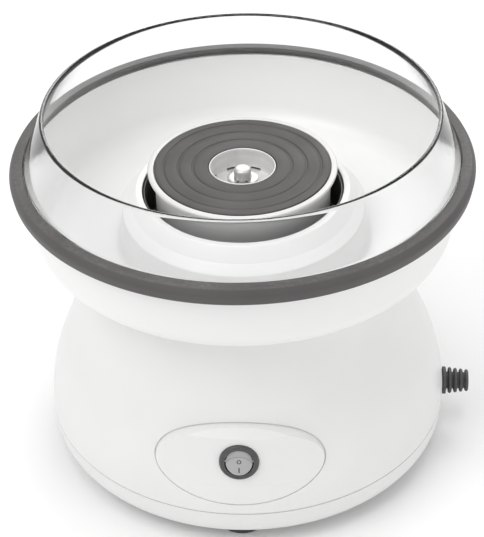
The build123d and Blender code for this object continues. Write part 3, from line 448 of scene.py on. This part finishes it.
# %% [markdown]
# ## The hub's clip
# A spring clip holds the head's parts on the hub. It is a flat open ring. Such a shape is a small
# rectangle swept round an axis, which is what Blender's spin operator does: a plane is stood
# upright at the ring's radius and spun through less than a full turn.

# %% Hub clip
clip_outer = clip_high.x
clip_inner = clip_outer - 4.9 * MM
clip_mouth = math.radians(64)
start_clean()
bpy.ops.mesh.primitive_plane_add(size=1, location=((clip_inner + clip_outer) / 2, 0,
                                                   (clip_low.z + clip_high.z) / 2))
clip = bpy.context.object
clip.name = "spring_clip"
clip.scale = (clip_outer - clip_inner, clip_high.z - clip_low.z, 1)
clip.rotation_euler = (math.radians(90), 0, 0)
bpy.ops.object.transform_apply(location=True, rotation=True, scale=True)
place_by(clip, Matrix.Rotation(-math.pi / 2 + clip_mouth / 2, 4, "Z"))
bpy.ops.object.mode_set(mode="EDIT")
bpy.ops.mesh.select_all(action="SELECT")
bpy.ops.mesh.spin(steps=64, angle=2 * math.pi - clip_mouth, center=(0, 0, 0), axis=(0, 0, -1))
bpy.ops.mesh.select_all(action="SELECT")
bpy.ops.mesh.remove_doubles(threshold=1e-7)
bpy.ops.mesh.normals_make_consistent(inside=False)
bpy.ops.object.mode_set(mode="OBJECT")
soften(clip, 0.25 * MM, segments=2, angle=40)
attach(clip, "head")
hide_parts("hub_clip")
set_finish(clip, "clip_steel")

# %% [markdown]
# ## The switch
# The switch sits in the sloping front panel. Its pieces are made upright, round the Z axis, and
# then laid over by one matrix that takes Z to the switch's own axis. The joint in the frame tells
# where the rocker turns, and the panel's lean tells the direction.

# %% Switch placing
panel_lean = math.radians(8)
pivot_depth = 1.5 * MM
rocker_joint = next(j for j in frame["joints"] if j["name"] == "rocker_tilt")
switch_axis = Vector((0, -math.cos(panel_lean), math.sin(panel_lean)))
switch_up = Vector((0, math.sin(panel_lean), math.cos(panel_lean)))
switch_across = switch_up.cross(switch_axis)
pivot = Vector(rocker_joint["pos_m"])
face_centre = pivot + switch_axis * pivot_depth
to_switch = Matrix.Translation(face_centre) @ Matrix(
    (switch_across, switch_up, switch_axis)).transposed().to_4x4()
rest_tilt = (Matrix.Translation((0, 0, -pivot_depth)) @ Matrix.Rotation(-panel_lean, 4, "X")
             @ Matrix.Translation((0, 0, pivot_depth)))
print("switch face at", [round(c, 4) for c in face_centre])

# %% [markdown]
# The bezel is a barrel with a flange. Its profile starts and ends near the axis, so its two ends
# become poles, and the barrel gets a back and a floor.

# %% Switch bezel
bezel_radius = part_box("switch_bezel")[1].x
bezel_proud = 1.8 * MM
bezel_opening = bezel_radius - 3.2 * MM
bezel_seat = -0.8 * MM
barrel_radius = bezel_radius - 1.9 * MM
barrel_back = -17 * MM
barrel_floor = barrel_back + 2 * MM
barrel_inner = bezel_opening - 2 * MM
pole = 0.2 * MM
bezel_profile = [(pole, barrel_back), (barrel_radius, barrel_back)]
bezel_profile += [(barrel_radius, bezel_seat), (bezel_radius, bezel_seat)]
bezel_profile += [(bezel_radius, bezel_proud - 1.3 * MM)]
bezel_profile += bead((bezel_radius - 1.1 * MM, bezel_proud - 1.1 * MM), 1.1 * MM, 10, 90, steps=6)
bezel_profile += [(bezel_radius - 1.5 * MM, bezel_proud), (bezel_radius - 1.65 * MM,
                                                           bezel_proud - 0.3 * MM)]
bezel_profile += [(bezel_opening + 0.95 * MM, bezel_proud - 0.3 * MM),
                  (bezel_opening + 0.8 * MM, bezel_proud - 0.05 * MM)]
bezel_profile += bead((bezel_opening + 0.45 * MM, bezel_proud - 0.45 * MM), 0.42 * MM, 80, 180,
                      steps=4)
bezel_profile += [(bezel_opening, -6.5 * MM), (barrel_inner, -7.5 * MM)]
bezel_profile += [(barrel_inner, barrel_floor), (pole, barrel_floor)]
bezel = turn_profile("switch_ring", bezel_profile, segments=96, poles=True)
soften(bezel, 0.12 * MM, segments=2, angle=40)
place_by(bezel, to_switch)
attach(bezel, "base")
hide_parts("switch_bezel")
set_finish(bezel, "bezel_dark")

# %% [markdown]
# ## The rocker
# The rocker is a round button that tips about its middle. Its face is hollow, so that a finger
# finds each side, and its lower part stands up as a small pad with an arched upper edge. Boolean
# cuts shape it. A wide cylinder lying across hollows the face. A second one, a little lower and
# with the pad cut out of it first, sinks the rest. The two small marks are the usual ring for off
# and bar for on.

# %% Rocker
rocker_radius = bezel_opening - 0.7 * MM
rocker_skirt = 5 * MM
rocker_top = 2.25 * MM
hollow_radius = 26 * MM
hollow_floor = 1.15 * MM
pad_radius = 9.8 * MM
pad_edge = 3.4 * MM
pad_height = 0.4 * MM


def add_rod(radius, length, location, turned=(0, 0, 0), segments=96):
    """A cylinder primitive with its place in its mesh, as a start or a cutter."""
    start_clean()
    bpy.ops.mesh.primitive_cylinder_add(vertices=segments, radius=radius, depth=length,
                                        location=location, rotation=turned)
    bpy.ops.object.transform_apply(location=True, rotation=True, scale=True)
    return bpy.context.object


rocker = add_rod(rocker_radius, rocker_top + rocker_skirt, (0, 0, (rocker_top - rocker_skirt) / 2))
rocker.name = "rocker_button"
cut_away(rocker, add_rod(hollow_radius, 30 * MM, (0, 0, hollow_floor + hollow_radius),
                         (0, math.radians(90), 0), segments=256))
around_pad = add_rod(hollow_radius, 30 * MM, (0, 0, hollow_floor - pad_height + hollow_radius),
                     (0, math.radians(90), 0), segments=256)
cut_away(around_pad, add_rod(pad_radius, 60 * MM, (0, pad_edge - pad_radius, 0), segments=128))
cut_away(rocker, around_pad)
cut_away(rocker, add_rod(rocker_radius - 1.6 * MM, 5 * MM, (0, 0, -rocker_skirt)))
cut_away(rocker, add_rod(1.06 * MM, 30 * MM, (0, 0, -pivot_depth), (0, math.radians(90), 0), 32))
soften(rocker, 0.35 * MM, segments=3, angle=35)
place_by(rocker, to_switch @ rest_tilt)
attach(rocker, "rocker")
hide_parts("switch_rocker")
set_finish(rocker, "rocker_grey")

# %% [markdown]
# The marks lie on the hollow face. It is part of a cylinder, so its height at any place comes from
# the circle's own formula, and its tilt from the arc sine. Both marks are sunk a little.

# %% Off ring and on bar
off_place, on_place = 0.2 * MM, -5.0 * MM
mark_sink = 0.08 * MM


def face_height(place):
    """Height of the hollow face at this distance up from its middle."""
    return hollow_floor + hollow_radius - math.sqrt(hollow_radius ** 2 - place ** 2)


start_clean()
bpy.ops.mesh.primitive_torus_add(major_radius=1.1 * MM, minor_radius=0.36 * MM,
                                 major_segments=40, minor_segments=10,
                                 location=(0, off_place, face_height(off_place) - mark_sink))
off_mark = bpy.context.object
off_mark.name = "off_ring"
off_mark.scale = (1, 1, 0.6)
bpy.ops.object.transform_apply(location=True, rotation=True, scale=True)
start_clean()
bpy.ops.mesh.primitive_cube_add(size=1, location=(0, on_place, face_height(on_place) - mark_sink),
                                rotation=(math.asin(on_place / hollow_radius), 0, 0))
on_mark = bpy.context.object
on_mark.name = "on_bar"
on_mark.scale = (0.8 * MM, 2.9 * MM, 0.5 * MM)
bpy.ops.object.transform_apply(location=True, rotation=True, scale=True)
for mark in (off_mark, on_mark):
    soften(mark, 0.1 * MM, segments=2)
    place_by(mark, to_switch @ rest_tilt)
    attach(mark, "rocker")
    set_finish(mark, "bezel_dark")

# %% [markdown]
# ## The cord gland
# The cord leaves the base at the side through a soft rubber gland. Its ribs let it bend with the
# cord. The ribs are one profile, repeated by a loop and a little smaller each time. The profile is
# turned upright and then laid over, so that its axis points out of the base.

# %% Cord gland
gland_low, gland_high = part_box("strain_relief")
gland_bore = 3.4 * MM
gland_flange = gland_high.y
gland_height = (gland_low.z + gland_high.z) / 2
gland_tip = gland_high.x
flange_start = gland_tip - 16.7 * MM
flange_end = flange_start + 2.2 * MM
collar_end = flange_start - 3.7 * MM
rib_count = 4
pitch = (gland_tip - flange_end) / rib_count
rib_taper = 1.8 * MM
core = gland_bore + 2.2 * MM
collar = 8.4 * MM
neck = 6.9 * MM
gland_profile = [(gland_bore, gland_low.x), (collar, gland_low.x), (collar, collar_end)]
gland_profile += [(neck, collar_end), (neck, flange_start), (gland_flange, flange_start)]
gland_profile += bead((gland_flange - 0.8 * MM, flange_end - 0.8 * MM), 0.8 * MM, 0, 90, steps=4)
for i in range(rib_count):
    rib_end = flange_end + pitch * (i + 1)
    rib_start = rib_end - 0.62 * pitch
    rib_radius = gland_flange - rib_taper * (i + 1) / rib_count
    bead_radius = (rib_end - rib_start) / 2
    bead_middle = (rib_radius - bead_radius, rib_start + bead_radius)
    gland_profile += [(core - 0.1 * MM * i, flange_end + pitch * i + 0.2 * MM)]
    gland_profile += [(core - 0.1 * MM * i, rib_start)]
    gland_profile += bead(bead_middle, bead_radius, -75, 75, steps=6)
gland_profile += [(gland_bore + 2.6 * MM, gland_tip), (gland_bore + 0.4 * MM, gland_tip)]
gland_profile += [(gland_bore, gland_tip - 0.4 * MM)]
gland = soften(turn_profile("ribbed_gland", gland_profile, segments=80), 0.18 * MM, segments=2)
place_by(gland, Matrix.Translation((0, 0, gland_height)) @ Matrix.Rotation(math.pi / 2, 4, "Y"))
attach(gland, "base")
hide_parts("strain_relief")
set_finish(gland, "gland_rubber")

# %% [markdown]
# ## The feet
# Four rubber cups stand the machine on a table and keep it from creeping. Each is a shallow cup
# with a soft lip, a neck that goes through the base, and a bulb that holds it there. One foot is
# modelled at the middle, and each copy gets its own mesh and its own place.

# %% Rubber feet
foot_names = ["foot_front", "foot_right", "foot_rear", "foot_left"]
foot_low, foot_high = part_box(foot_names[0])
foot_radius = (foot_high.x - foot_low.x) / 2
pan_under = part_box("bottom_pan")[0].z
foot_axis = 0.3 * MM
foot_side = foot_radius - 0.5 * MM
foot_neck = 9.6 * MM
foot_stem = 4 * MM
bulb_top = foot_high.z
foot_profile = [(foot_axis, 2.6 * MM), (foot_radius - 5.2 * MM, 2.0 * MM)]
foot_profile += bead((foot_radius - 1.3 * MM, 1.0 * MM), 1.0 * MM, 215, 360, steps=6)
foot_profile += [(foot_side, 1.5 * MM)]
foot_profile += round_corner((foot_side, 1.5 * MM), (10.4 * MM, pan_under - 1.2 * MM),
                             (foot_neck, pan_under), 2.0 * MM, steps=4)
foot_profile += [(foot_neck, pan_under), (foot_stem, pan_under), (foot_stem, bulb_top - 4.4 * MM)]
foot_profile += bead((4.7 * MM, bulb_top - 2.7 * MM), 1.6 * MM, -70, 60, steps=6)
foot_profile += [(foot_stem, bulb_top - 0.4 * MM), (3.4 * MM, bulb_top), (foot_axis, bulb_top)]
foot = turn_profile("foot_cup", foot_profile, segments=72, poles=True)
soften(foot, 0.2 * MM, segments=2, angle=40)
for name in foot_names:
    low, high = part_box(name)
    copy = bpy.data.objects.new("rubber_" + name, foot.data.copy())
    bpy.context.scene.collection.objects.link(copy)
    place_by(copy, Matrix.Translation(((low.x + high.x) / 2, (low.y + high.y) / 2, 0)))
    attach(copy, "base")
    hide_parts(name)
    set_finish(copy, "foot_rubber")
bpy.data.objects.remove(foot)
print("feet", foot_names)

# %% [markdown]
# ## Effects that several materials share
# A real surface is never one flat colour. Moulded plastic has a fine grain from its mould and a
# slight mottling. Turned metal has fine circles round its axis. Everything that is touched has
# smudges, and dust settles on what faces up. Each of these effects is a node group: it is built
# once, and every material that uses it sets its own numbers on the group's inputs.

# %% A helper that starts a node group
def start_group(name, inputs, outputs):
    """A shader node group with named inputs (name, kind, default) and outputs (name, kind)."""
    group = bpy.data.node_groups.new(name, "ShaderNodeTree")
    for label, kind, default in inputs:
        socket = group.interface.new_socket(label, in_out="INPUT", socket_type=kind)
        if default is not None:
            socket.default_value = default
    for label, kind in outputs:
        group.interface.new_socket(label, in_out="OUTPUT", socket_type=kind)
    entry = group.nodes.new("NodeGroupInput")
    leave = group.nodes.new("NodeGroupOutput")
    return group, entry.outputs, leave.inputs


def add_math(tree, operation, first, second=None, third=None):
    """A Math node; a number is set on its socket, and a socket is linked to it."""
    node = tree.nodes.new("ShaderNodeMath")
    node.operation = operation
    for socket, value in zip(node.inputs, (first, second, third)):
        if isinstance(value, (int, float)):
            socket.default_value = value
        elif value is not None:
            tree.links.new(value, socket)
    return node.outputs[0]


def add_noise(tree, vector, scale, detail=3.0, roughness=0.5):
    """A Noise Texture on these coordinates."""
    node = tree.nodes.new("ShaderNodeTexNoise")
    tree.links.new(vector, node.inputs["Vector"])
    if isinstance(scale, (int, float)):
        node.inputs["Scale"].default_value = scale
    else:
        tree.links.new(scale, node.inputs["Scale"])
    node.inputs["Detail"].default_value = detail
    node.inputs["Roughness"].default_value = roughness
    return node.outputs["Fac"]


def add_range(tree, value, low, high, to_low=0.0, to_high=1.0):
    """A Map Range node: the stretch from low to high becomes to_low to to_high."""
    node = tree.nodes.new("ShaderNodeMapRange")
    tree.links.new(value, node.inputs["Value"])
    for label, number in (("From Min", low), ("From Max", high), ("To Min", to_low),
                          ("To Max", to_high)):
        node.inputs[label].default_value = number
    return node.outputs["Result"]


print("node helpers ready")

# %% [markdown]
# Moulded skin is two noises: a fine one for the bump, and a slow one for the mottling.

# %% Moulded skin
moulded_skin, enter, leave = start_group(
    "moulded_skin",
    [("Vector", "NodeSocketVector", None), ("Grain", "NodeSocketFloat", 2400.0)],
    [("Height", "NodeSocketFloat"), ("Mottle", "NodeSocketFloat")])
fine = add_noise(moulded_skin, enter["Vector"], enter["Grain"], detail=2.0)
slow = add_noise(moulded_skin, enter["Vector"], 34.0, detail=1.0)
moulded_skin.links.new(fine, leave["Height"])
moulded_skin.links.new(add_range(moulded_skin, slow, 0.2, 0.8), leave["Mottle"])
print("moulded_skin nodes", len(moulded_skin.nodes))

# %% [markdown]
# Turning marks are circles round the axis. The distance from the axis, the square root of x squared
# plus y squared, becomes the coordinate of a noise, so the noise is the same all the way round.

# %% Turning marks
turning_marks, enter, leave = start_group(
    "turning_marks",
    [("Vector", "NodeSocketVector", None), ("Lines", "NodeSocketFloat", 900.0)],
    [("Height", "NodeSocketFloat"), ("Streak", "NodeSocketFloat")])
parts = turning_marks.nodes.new("ShaderNodeSeparateXYZ")
turning_marks.links.new(enter["Vector"], parts.inputs[0])
squared = add_math(turning_marks, "ADD", add_math(turning_marks, "POWER", parts.outputs["X"], 2.0),
                   add_math(turning_marks, "POWER", parts.outputs["Y"], 2.0))
distance = add_math(turning_marks, "SQRT", squared)
rolled = turning_marks.nodes.new("ShaderNodeCombineXYZ")
turning_marks.links.new(distance, rolled.inputs["X"])
turning_marks.links.new(parts.outputs["Z"], rolled.inputs["Y"])
fine = add_noise(turning_marks, rolled.outputs[0], enter["Lines"], detail=2.0)
wide = add_noise(turning_marks, rolled.outputs[0], add_math(turning_marks, "MULTIPLY",
                                                            enter["Lines"], 0.2), detail=1.0)
turning_marks.links.new(fine, leave["Height"])
turning_marks.links.new(add_range(turning_marks, wide, 0.25, 0.75), leave["Streak"])
print("turning_marks nodes", len(turning_marks.nodes))

# %% [markdown]
# Handling marks are soft clouds, for fingers and cloths that leave a surface less or more glossy.

# %% Handling marks
handling_marks, enter, leave = start_group(
    "handling_marks",
    [("Vector", "NodeSocketVector", None), ("Size", "NodeSocketFloat", 26.0)],
    [("Smudge", "NodeSocketFloat")])
cloud = add_noise(handling_marks, enter["Vector"], enter["Size"], detail=3.0, roughness=0.5)
handling_marks.links.new(add_range(handling_marks, cloud, 0.3, 0.8), leave["Smudge"])
print("handling_marks nodes", len(handling_marks.nodes))

# %% [markdown]
# Dust lies only where the surface faces up, so its mask is multiplied by the normal's Z.

# %% Settled dust
settled_dust, enter, leave = start_group(
    "settled_dust",
    [("Vector", "NodeSocketVector", None), ("Amount", "NodeSocketFloat", 0.3)],
    [("Dust", "NodeSocketFloat")])
surface = settled_dust.nodes.new("ShaderNodeNewGeometry")
facing = settled_dust.nodes.new("ShaderNodeSeparateXYZ")
settled_dust.links.new(surface.outputs["Normal"], facing.inputs[0])
upward = add_range(settled_dust, facing.outputs["Z"], 0.55, 0.98)
specks = add_noise(settled_dust, enter["Vector"], 420.0, detail=6.0, roughness=0.75)
patches = add_noise(settled_dust, enter["Vector"], 30.0, detail=2.0)
dusty = add_math(settled_dust, "MULTIPLY", add_range(settled_dust, specks, 0.4, 0.8),
                 add_range(settled_dust, patches, 0.3, 0.7))
dusty = add_math(settled_dust, "MULTIPLY", dusty, upward)
settled_dust.links.new(add_math(settled_dust, "MULTIPLY", dusty, enter["Amount"]), leave["Dust"])
print("settled_dust nodes", len(settled_dust.nodes))

# %% [markdown]
# A Bevel node gives the normal that a rounded edge would have. Where it differs from the real
# normal, there is an edge, and a noise breaks the edge up into rubbed spots.

# %% Rubbed edges
rubbed_edge, enter, leave = start_group(
    "rubbed_edge",
    [("Vector", "NodeSocketVector", None), ("Amount", "NodeSocketFloat", 0.5)],
    [("Edge", "NodeSocketFloat")])
rounded = rubbed_edge.nodes.new("ShaderNodeBevel")
rounded.samples = 4
rounded.inputs["Radius"].default_value = 0.0009
surface = rubbed_edge.nodes.new("ShaderNodeNewGeometry")
compare = rubbed_edge.nodes.new("ShaderNodeVectorMath")
compare.operation = "DOT_PRODUCT"
rubbed_edge.links.new(rounded.outputs[0], compare.inputs[0])
rubbed_edge.links.new(surface.outputs["Normal"], compare.inputs[1])
sharp = add_range(rubbed_edge, compare.outputs["Value"], 0.985, 0.86)
chips = add_noise(rubbed_edge, enter["Vector"], 260.0, detail=4.0)
worn = add_math(rubbed_edge, "MULTIPLY", sharp, add_range(rubbed_edge, chips, 0.35, 0.65))
rubbed_edge.links.new(add_math(rubbed_edge, "MULTIPLY", worn, enter["Amount"]), leave["Edge"])
print("effects", [group.name for group in bpy.data.node_groups])

# %% [markdown]
# ## One recipe for a finish
# Most of the machine's materials are the same few layers with other numbers, so one function lays
# them. It mixes the base colour with a darker or lighter tone by the mottling, lays dust and worn
# edges over it, and lets smudges change the roughness. The fine grain goes into a Bump node.
# Numbers that are the same all over, such as the coat or the metallic value, are set on the
# shader's own sockets, because only those survive an export to other programs.

# %% The recipe
def mix_colour(tree, mask, under, over):
    """Mix two colours by a mask; each colour is an RGB tuple or a socket."""
    node = tree.nodes.new("ShaderNodeMix")
    node.data_type = "RGBA"
    tree.links.new(mask, node.inputs["Factor"])
    for socket, colour in ((node.inputs[6], under), (node.inputs[7], over)):
        if isinstance(colour, tuple):
            socket.default_value = (*colour, 1.0)
        else:
            tree.links.new(colour, socket)
    return node.outputs[2]


def use_group(tree, group, vector, **numbers):
    """Place a group in a material, feed it the coordinates and set its numbers."""
    node = tree.nodes.new("ShaderNodeGroup")
    node.node_tree = group
    tree.links.new(vector, node.inputs["Vector"])
    for label, number in numbers.items():
        node.inputs[label.replace("_", " ").title()].default_value = number
    return node.outputs


def shade(colour, share):
    """The same colour, lighter or darker."""
    return tuple(min(1.0, channel * share) for channel in colour)


finishes = {}


def finish(name, colour, roughness, grain=2400.0, depth=0.02, mottle=0.03, smudge=0.08, dust=0.0,
           dust_colour=(0.55, 0.53, 0.5), worn=0.0, worn_colour=(0.6, 0.6, 0.6), metallic=0.0,
           lines=0.0, coat=0.0):
    """File a Principled material with mottling, grain or turning marks, smudges, dust, wear."""
    material = bpy.data.materials.new("finish_" + name)
    material.use_nodes = True
    tree = material.node_tree
    shader = tree.nodes["Principled BSDF"]
    place = tree.nodes.new("ShaderNodeTexCoord").outputs["Object"]
    skin = use_group(tree, moulded_skin, place, grain=grain)
    marks = use_group(tree, handling_marks, place)
    base = mix_colour(tree, skin["Mottle"], shade(colour, 1 - mottle), shade(colour, 1 + mottle))
    height = skin["Height"]
    if lines:
        rings = use_group(tree, turning_marks, place, lines=lines)
        base = mix_colour(tree, rings["Streak"], base, shade(colour, 1 - 2.5 * mottle))
        height = rings["Height"]
    if dust:
        settled = use_group(tree, settled_dust, place, amount=dust)
        base = mix_colour(tree, settled["Dust"], base, dust_colour)
    if worn:
        edge = use_group(tree, rubbed_edge, place, amount=worn)
        base = mix_colour(tree, edge["Edge"], base, worn_colour)
    tree.links.new(base, shader.inputs["Base Color"])
    rough = add_range(tree, marks["Smudge"], 0.0, 1.0, roughness, min(1.0, roughness + smudge))
    tree.links.new(rough, shader.inputs["Roughness"])
    bump = tree.nodes.new("ShaderNodeBump")
    bump.inputs["Strength"].default_value = 1.0
    bump.inputs["Distance"].default_value = depth * MM
    tree.links.new(height, bump.inputs["Height"])
    tree.links.new(bump.outputs["Normal"], shader.inputs["Normal"])
    shader.inputs["Metallic"].default_value = metallic
    shader.inputs["Coat Weight"].default_value = coat
    finishes[name] = material


print("recipe ready, effects", len(bpy.data.node_groups))


# %% [markdown]
# ## The outer finishes
# The base and the bowl are white moulded plastic with a satin gloss. The ring, the feet and the
# gland are dark soft plastic. The head is spun aluminium, bright on its wall and rim, and its disc
# has a dark coating.

# %% Plastics and rubbers outside
finish("shell_white", (0.8, 0.8, 0.795), 0.36, grain=2600, depth=0.008, mottle=0.012, dust=0.10)
finish("bowl_white", (0.87, 0.87, 0.865), 0.3, grain=1800, depth=0.004, mottle=0.003, smudge=0.02)
finish("rim_dark", (0.08, 0.074, 0.074), 0.5, grain=1500, depth=0.03, mottle=0.08, dust=0.25,
       worn=0.35, worn_colour=(0.2, 0.19, 0.19))
finish("foot_rubber", (0.05, 0.05, 0.052), 0.62, grain=1400, depth=0.04, mottle=0.1, dust=0.3,
       worn=0.3, worn_colour=(0.2, 0.2, 0.2))
finish("gland_rubber", (0.07, 0.07, 0.072), 0.55, grain=1400, depth=0.03, mottle=0.1, dust=0.2,
       worn=0.4, worn_colour=(0.17, 0.17, 0.17))
finish("bezel_dark", (0.06, 0.06, 0.062), 0.3, grain=2000, depth=0.01, mottle=0.06, worn=0.35,
       worn_colour=(0.22, 0.22, 0.22), coat=0.15)
finish("rocker_grey", (0.40, 0.40, 0.40), 0.34, grain=2200, depth=0.01, mottle=0.04, smudge=0.2,
       coat=0.1)
print("finishes so far", len(finishes))

# %% [markdown]
# The head's metals were turned or spun, so they get turning marks instead of grain. They are only
# partly metallic, because dull aluminium scatters light almost as paint does.

# %% Metals of the head
finish("head_metal", (0.72, 0.715, 0.71), 0.46, depth=0.012, mottle=0.04, smudge=0.12,
       metallic=0.35, lines=1500)
finish("disc_dark", (0.072, 0.067, 0.066), 0.42, depth=0.02, mottle=0.07, smudge=0.14,
       metallic=0.25, lines=1100, worn=0.5, worn_colour=(0.2, 0.19, 0.18))
finish("cup_metal", (0.80, 0.795, 0.785), 0.48, depth=0.01, mottle=0.04, smudge=0.1, metallic=0.5,
       lines=1700)
finish("hub_metal", (0.62, 0.615, 0.61), 0.36, depth=0.01, mottle=0.05, smudge=0.1, metallic=0.8,
       lines=2200)
finish("clip_steel", (0.56, 0.55, 0.54), 0.26, grain=1200, depth=0.008, mottle=0.08, metallic=1.0,
       worn=0.4, worn_colour=(0.8, 0.8, 0.8))
finish("well_dark", (0.11, 0.108, 0.105), 0.45, depth=0.012, mottle=0.08, smudge=0.2,
       metallic=0.6, lines=900, dust=0.15)
print("finishes so far", len(finishes))

# %% [markdown]
# ## Clear plastic
# The guard is clear moulded plastic. It has to be smooth, but not perfectly so: a few smudges
# change its roughness a little. Its transmission is a plain number. A faint grey in its colour
# darkens it where one looks through its wall edge-on, as at the lip.

# %% Clear guard
clear = bpy.data.materials.new("finish_clear_guard")
clear.use_nodes = True
tree = clear.node_tree
shader = tree.nodes["Principled BSDF"]
place = tree.nodes.new("ShaderNodeTexCoord").outputs["Object"]
marks = use_group(tree, handling_marks, place, size=18.0)
skin = use_group(tree, moulded_skin, place, grain=60.0)
tint = mix_colour(tree, skin["Mottle"], (0.975, 0.98, 0.98), (0.985, 0.99, 0.99))
tree.links.new(tint, shader.inputs["Base Color"])
tree.links.new(add_range(tree, marks["Smudge"], 0.0, 1.0, 0.015, 0.05), shader.inputs["Roughness"])
ripple = tree.nodes.new("ShaderNodeBump")
ripple.inputs["Strength"].default_value = 1.0
ripple.inputs["Distance"].default_value = 0.02 * MM
tree.links.new(skin["Height"], ripple.inputs["Height"])
tree.links.new(ripple.outputs["Normal"], shader.inputs["Normal"])
shader.inputs["Transmission Weight"].default_value = 1.0
shader.inputs["IOR"].default_value = 1.49
finishes["clear_guard"] = clear
print("clear guard IOR", shader.inputs["IOR"].default_value)

# %% [markdown]
# ## The finishes inside
# The motor, the heater and the wiring are seen when the head and the bowl are lifted off. Each has
# the finish of its own stuff: rolled and stacked steel, copper wire, brass, carbon, ceramic.

# %% Metals inside
finish("fastener_steel", (0.6, 0.59, 0.58), 0.3, grain=900, depth=0.01, mottle=0.07, metallic=1.0)
finish("motor_steel", (0.5, 0.5, 0.49), 0.34, depth=0.012, mottle=0.06, metallic=1.0, lines=700)
finish("shield_steel", (0.55, 0.55, 0.54), 0.4, grain=500, depth=0.01, mottle=0.08, metallic=1.0)
finish("laminations", (0.34, 0.34, 0.35), 0.42, grain=900, depth=0.01, mottle=0.1, metallic=1.0)
finish("copper", (0.72, 0.33, 0.16), 0.3, grain=1600, depth=0.05, mottle=0.12, metallic=1.0)
finish("brass", (0.71, 0.52, 0.22), 0.32, grain=1200, depth=0.01, mottle=0.08, metallic=1.0,
       worn=0.4, worn_colour=(0.9, 0.75, 0.4))
finish("bearing_bronze", (0.48, 0.33, 0.17), 0.45, grain=1800, depth=0.02, mottle=0.12,
       metallic=1.0)
finish("heater_sheath", (0.23, 0.2, 0.18), 0.48, grain=900, depth=0.02, mottle=0.16,
       metallic=0.85)
print("finishes so far", len(finishes))

# %% [markdown]
# The rest inside is plastic, rubber or mineral. Dust on the black ones keeps them from being
# plain black.

# %% Plastics and minerals inside
finish("black_plastic", (0.035, 0.035, 0.037), 0.42, grain=1500, depth=0.02, mottle=0.1, dust=0.2)
finish("fan_plastic", (0.05, 0.052, 0.058), 0.4, grain=1500, depth=0.02, mottle=0.1, dust=0.35)
finish("nylon_white", (0.74, 0.73, 0.69), 0.45, grain=1500, depth=0.01, mottle=0.04)
finish("mount_rubber", (0.06, 0.06, 0.06), 0.7, grain=1200, depth=0.04, mottle=0.12)
finish("magnet", (0.1, 0.098, 0.1), 0.6, grain=1100, depth=0.03, mottle=0.12)
finish("carbon", (0.045, 0.045, 0.047), 0.5, grain=1500, depth=0.03, mottle=0.15, metallic=0.2)
finish("ceramic", (0.78, 0.76, 0.71), 0.5, grain=1300, depth=0.02, mottle=0.05, dust=0.1)
finish("insulation", (0.62, 0.58, 0.49), 0.85, grain=700, depth=0.12, mottle=0.14)
finish("board_green", (0.05, 0.2, 0.1), 0.4, grain=260, depth=0.02, mottle=0.12, coat=0.3)
finish("capacitor_sleeve", (0.05, 0.07, 0.2), 0.35, grain=800, depth=0.01, mottle=0.08, coat=0.3)
print("finishes so far", len(finishes))

# %% [markdown]
# ## Handing out the finishes
# Each CAD piece carries the name of its material slot, and each new piece was told its slot when it
# was made. A loop gives both kinds their finish. A CAD piece's mesh stays as it is: only what is in
# its material slots changes.

# %% Hand out
for name, node in nodes.items():
    slot_name = node.data.materials[0].name.split(".")[0]
    for index in range(len(node.data.materials)):
        node.data.materials[index] = finishes[slot_name]
new_pieces = [o for o in bpy.context.scene.objects if o.type == "MESH" and o.name not in nodes]
for piece in new_pieces:
    piece.data.materials.clear()
    piece.data.materials.append(finishes[piece["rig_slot"]])
print("new pieces", len(new_pieces), "finishes", len(finishes))

# %% [markdown]
# ## Floor and light
# The machine stands on a pale floor in soft light: a large key light high on the left, one straight
# above that shines into the bowl past the guard, a weaker one on the right, one from behind that
# draws the rims, and an even pale sky. Clear plastic shows only
# by what it reflects and bends, so the lights are large panels with visible edges.

# %% Floor
start_clean()
bpy.ops.mesh.primitive_plane_add(size=14, location=(0, 0, 0))
floor = bpy.context.object
floor.name = "floor"
floor_finish = bpy.data.materials.new("floor_paint")
floor_finish.use_nodes = True
tree = floor_finish.node_tree
place = tree.nodes.new("ShaderNodeTexCoord").outputs["Object"]
cloud = add_noise(tree, place, 3.0)
floor_colour = mix_colour(tree, cloud, (0.9, 0.9, 0.9), (0.91, 0.91, 0.91))
tree.links.new(floor_colour, tree.nodes["Principled BSDF"].inputs["Base Color"])
tree.nodes["Principled BSDF"].inputs["Roughness"].default_value = 0.9
tree.nodes["Principled BSDF"].inputs["Specular IOR Level"].default_value = 0.1
floor.data.materials.append(floor_finish)
print("floor", floor.dimensions[:])

# %% [markdown]
# Each lamp is an area light. Its direction comes from a small vector sum: the point it faces minus
# its own place.

# %% Lights
def add_panel(name, size, power, place, aim_at=(0, 0, 0.12)):
    """A square area light that faces a point."""
    data = bpy.data.lights.new(name, "AREA")
    data.shape = "RECTANGLE"
    data.size, data.size_y = size
    data.energy = power
    light = bpy.data.objects.new(name, data)
    light.location = place
    facing = Vector(aim_at) - Vector(place)
    light.rotation_euler = facing.to_track_quat("-Z", "Y").to_euler()
    bpy.context.scene.collection.objects.link(light)


add_panel("key", (1.1, 0.8), 9.0, (-0.85, -0.7, 1.5))
add_panel("top", (0.9, 0.9), 6.5, (0.0, -0.1, 1.6))
add_panel("fill", (0.9, 0.9), 2.0, (1.3, -0.8, 0.9))
add_panel("back", (1.2, 0.5), 6.0, (0.35, 1.3, 1.1))
world = bpy.data.worlds.new("soft_sky")
bpy.context.scene.world = world
world.use_nodes = True
world.node_tree.nodes["Background"].inputs["Color"].default_value = (1.0, 1.0, 1.0, 1.0)
world.node_tree.nodes["Background"].inputs["Strength"].default_value = 0.7
bpy.context.scene.view_settings.view_transform = "Standard"
print("lights", [light.name for light in bpy.data.lights])

# %% [markdown]
# ## Finish
# The visual model must fill the same box as the CAD model. The script ends by updating the view
# layer.

# %% Finish
bpy.context.view_layer.update()
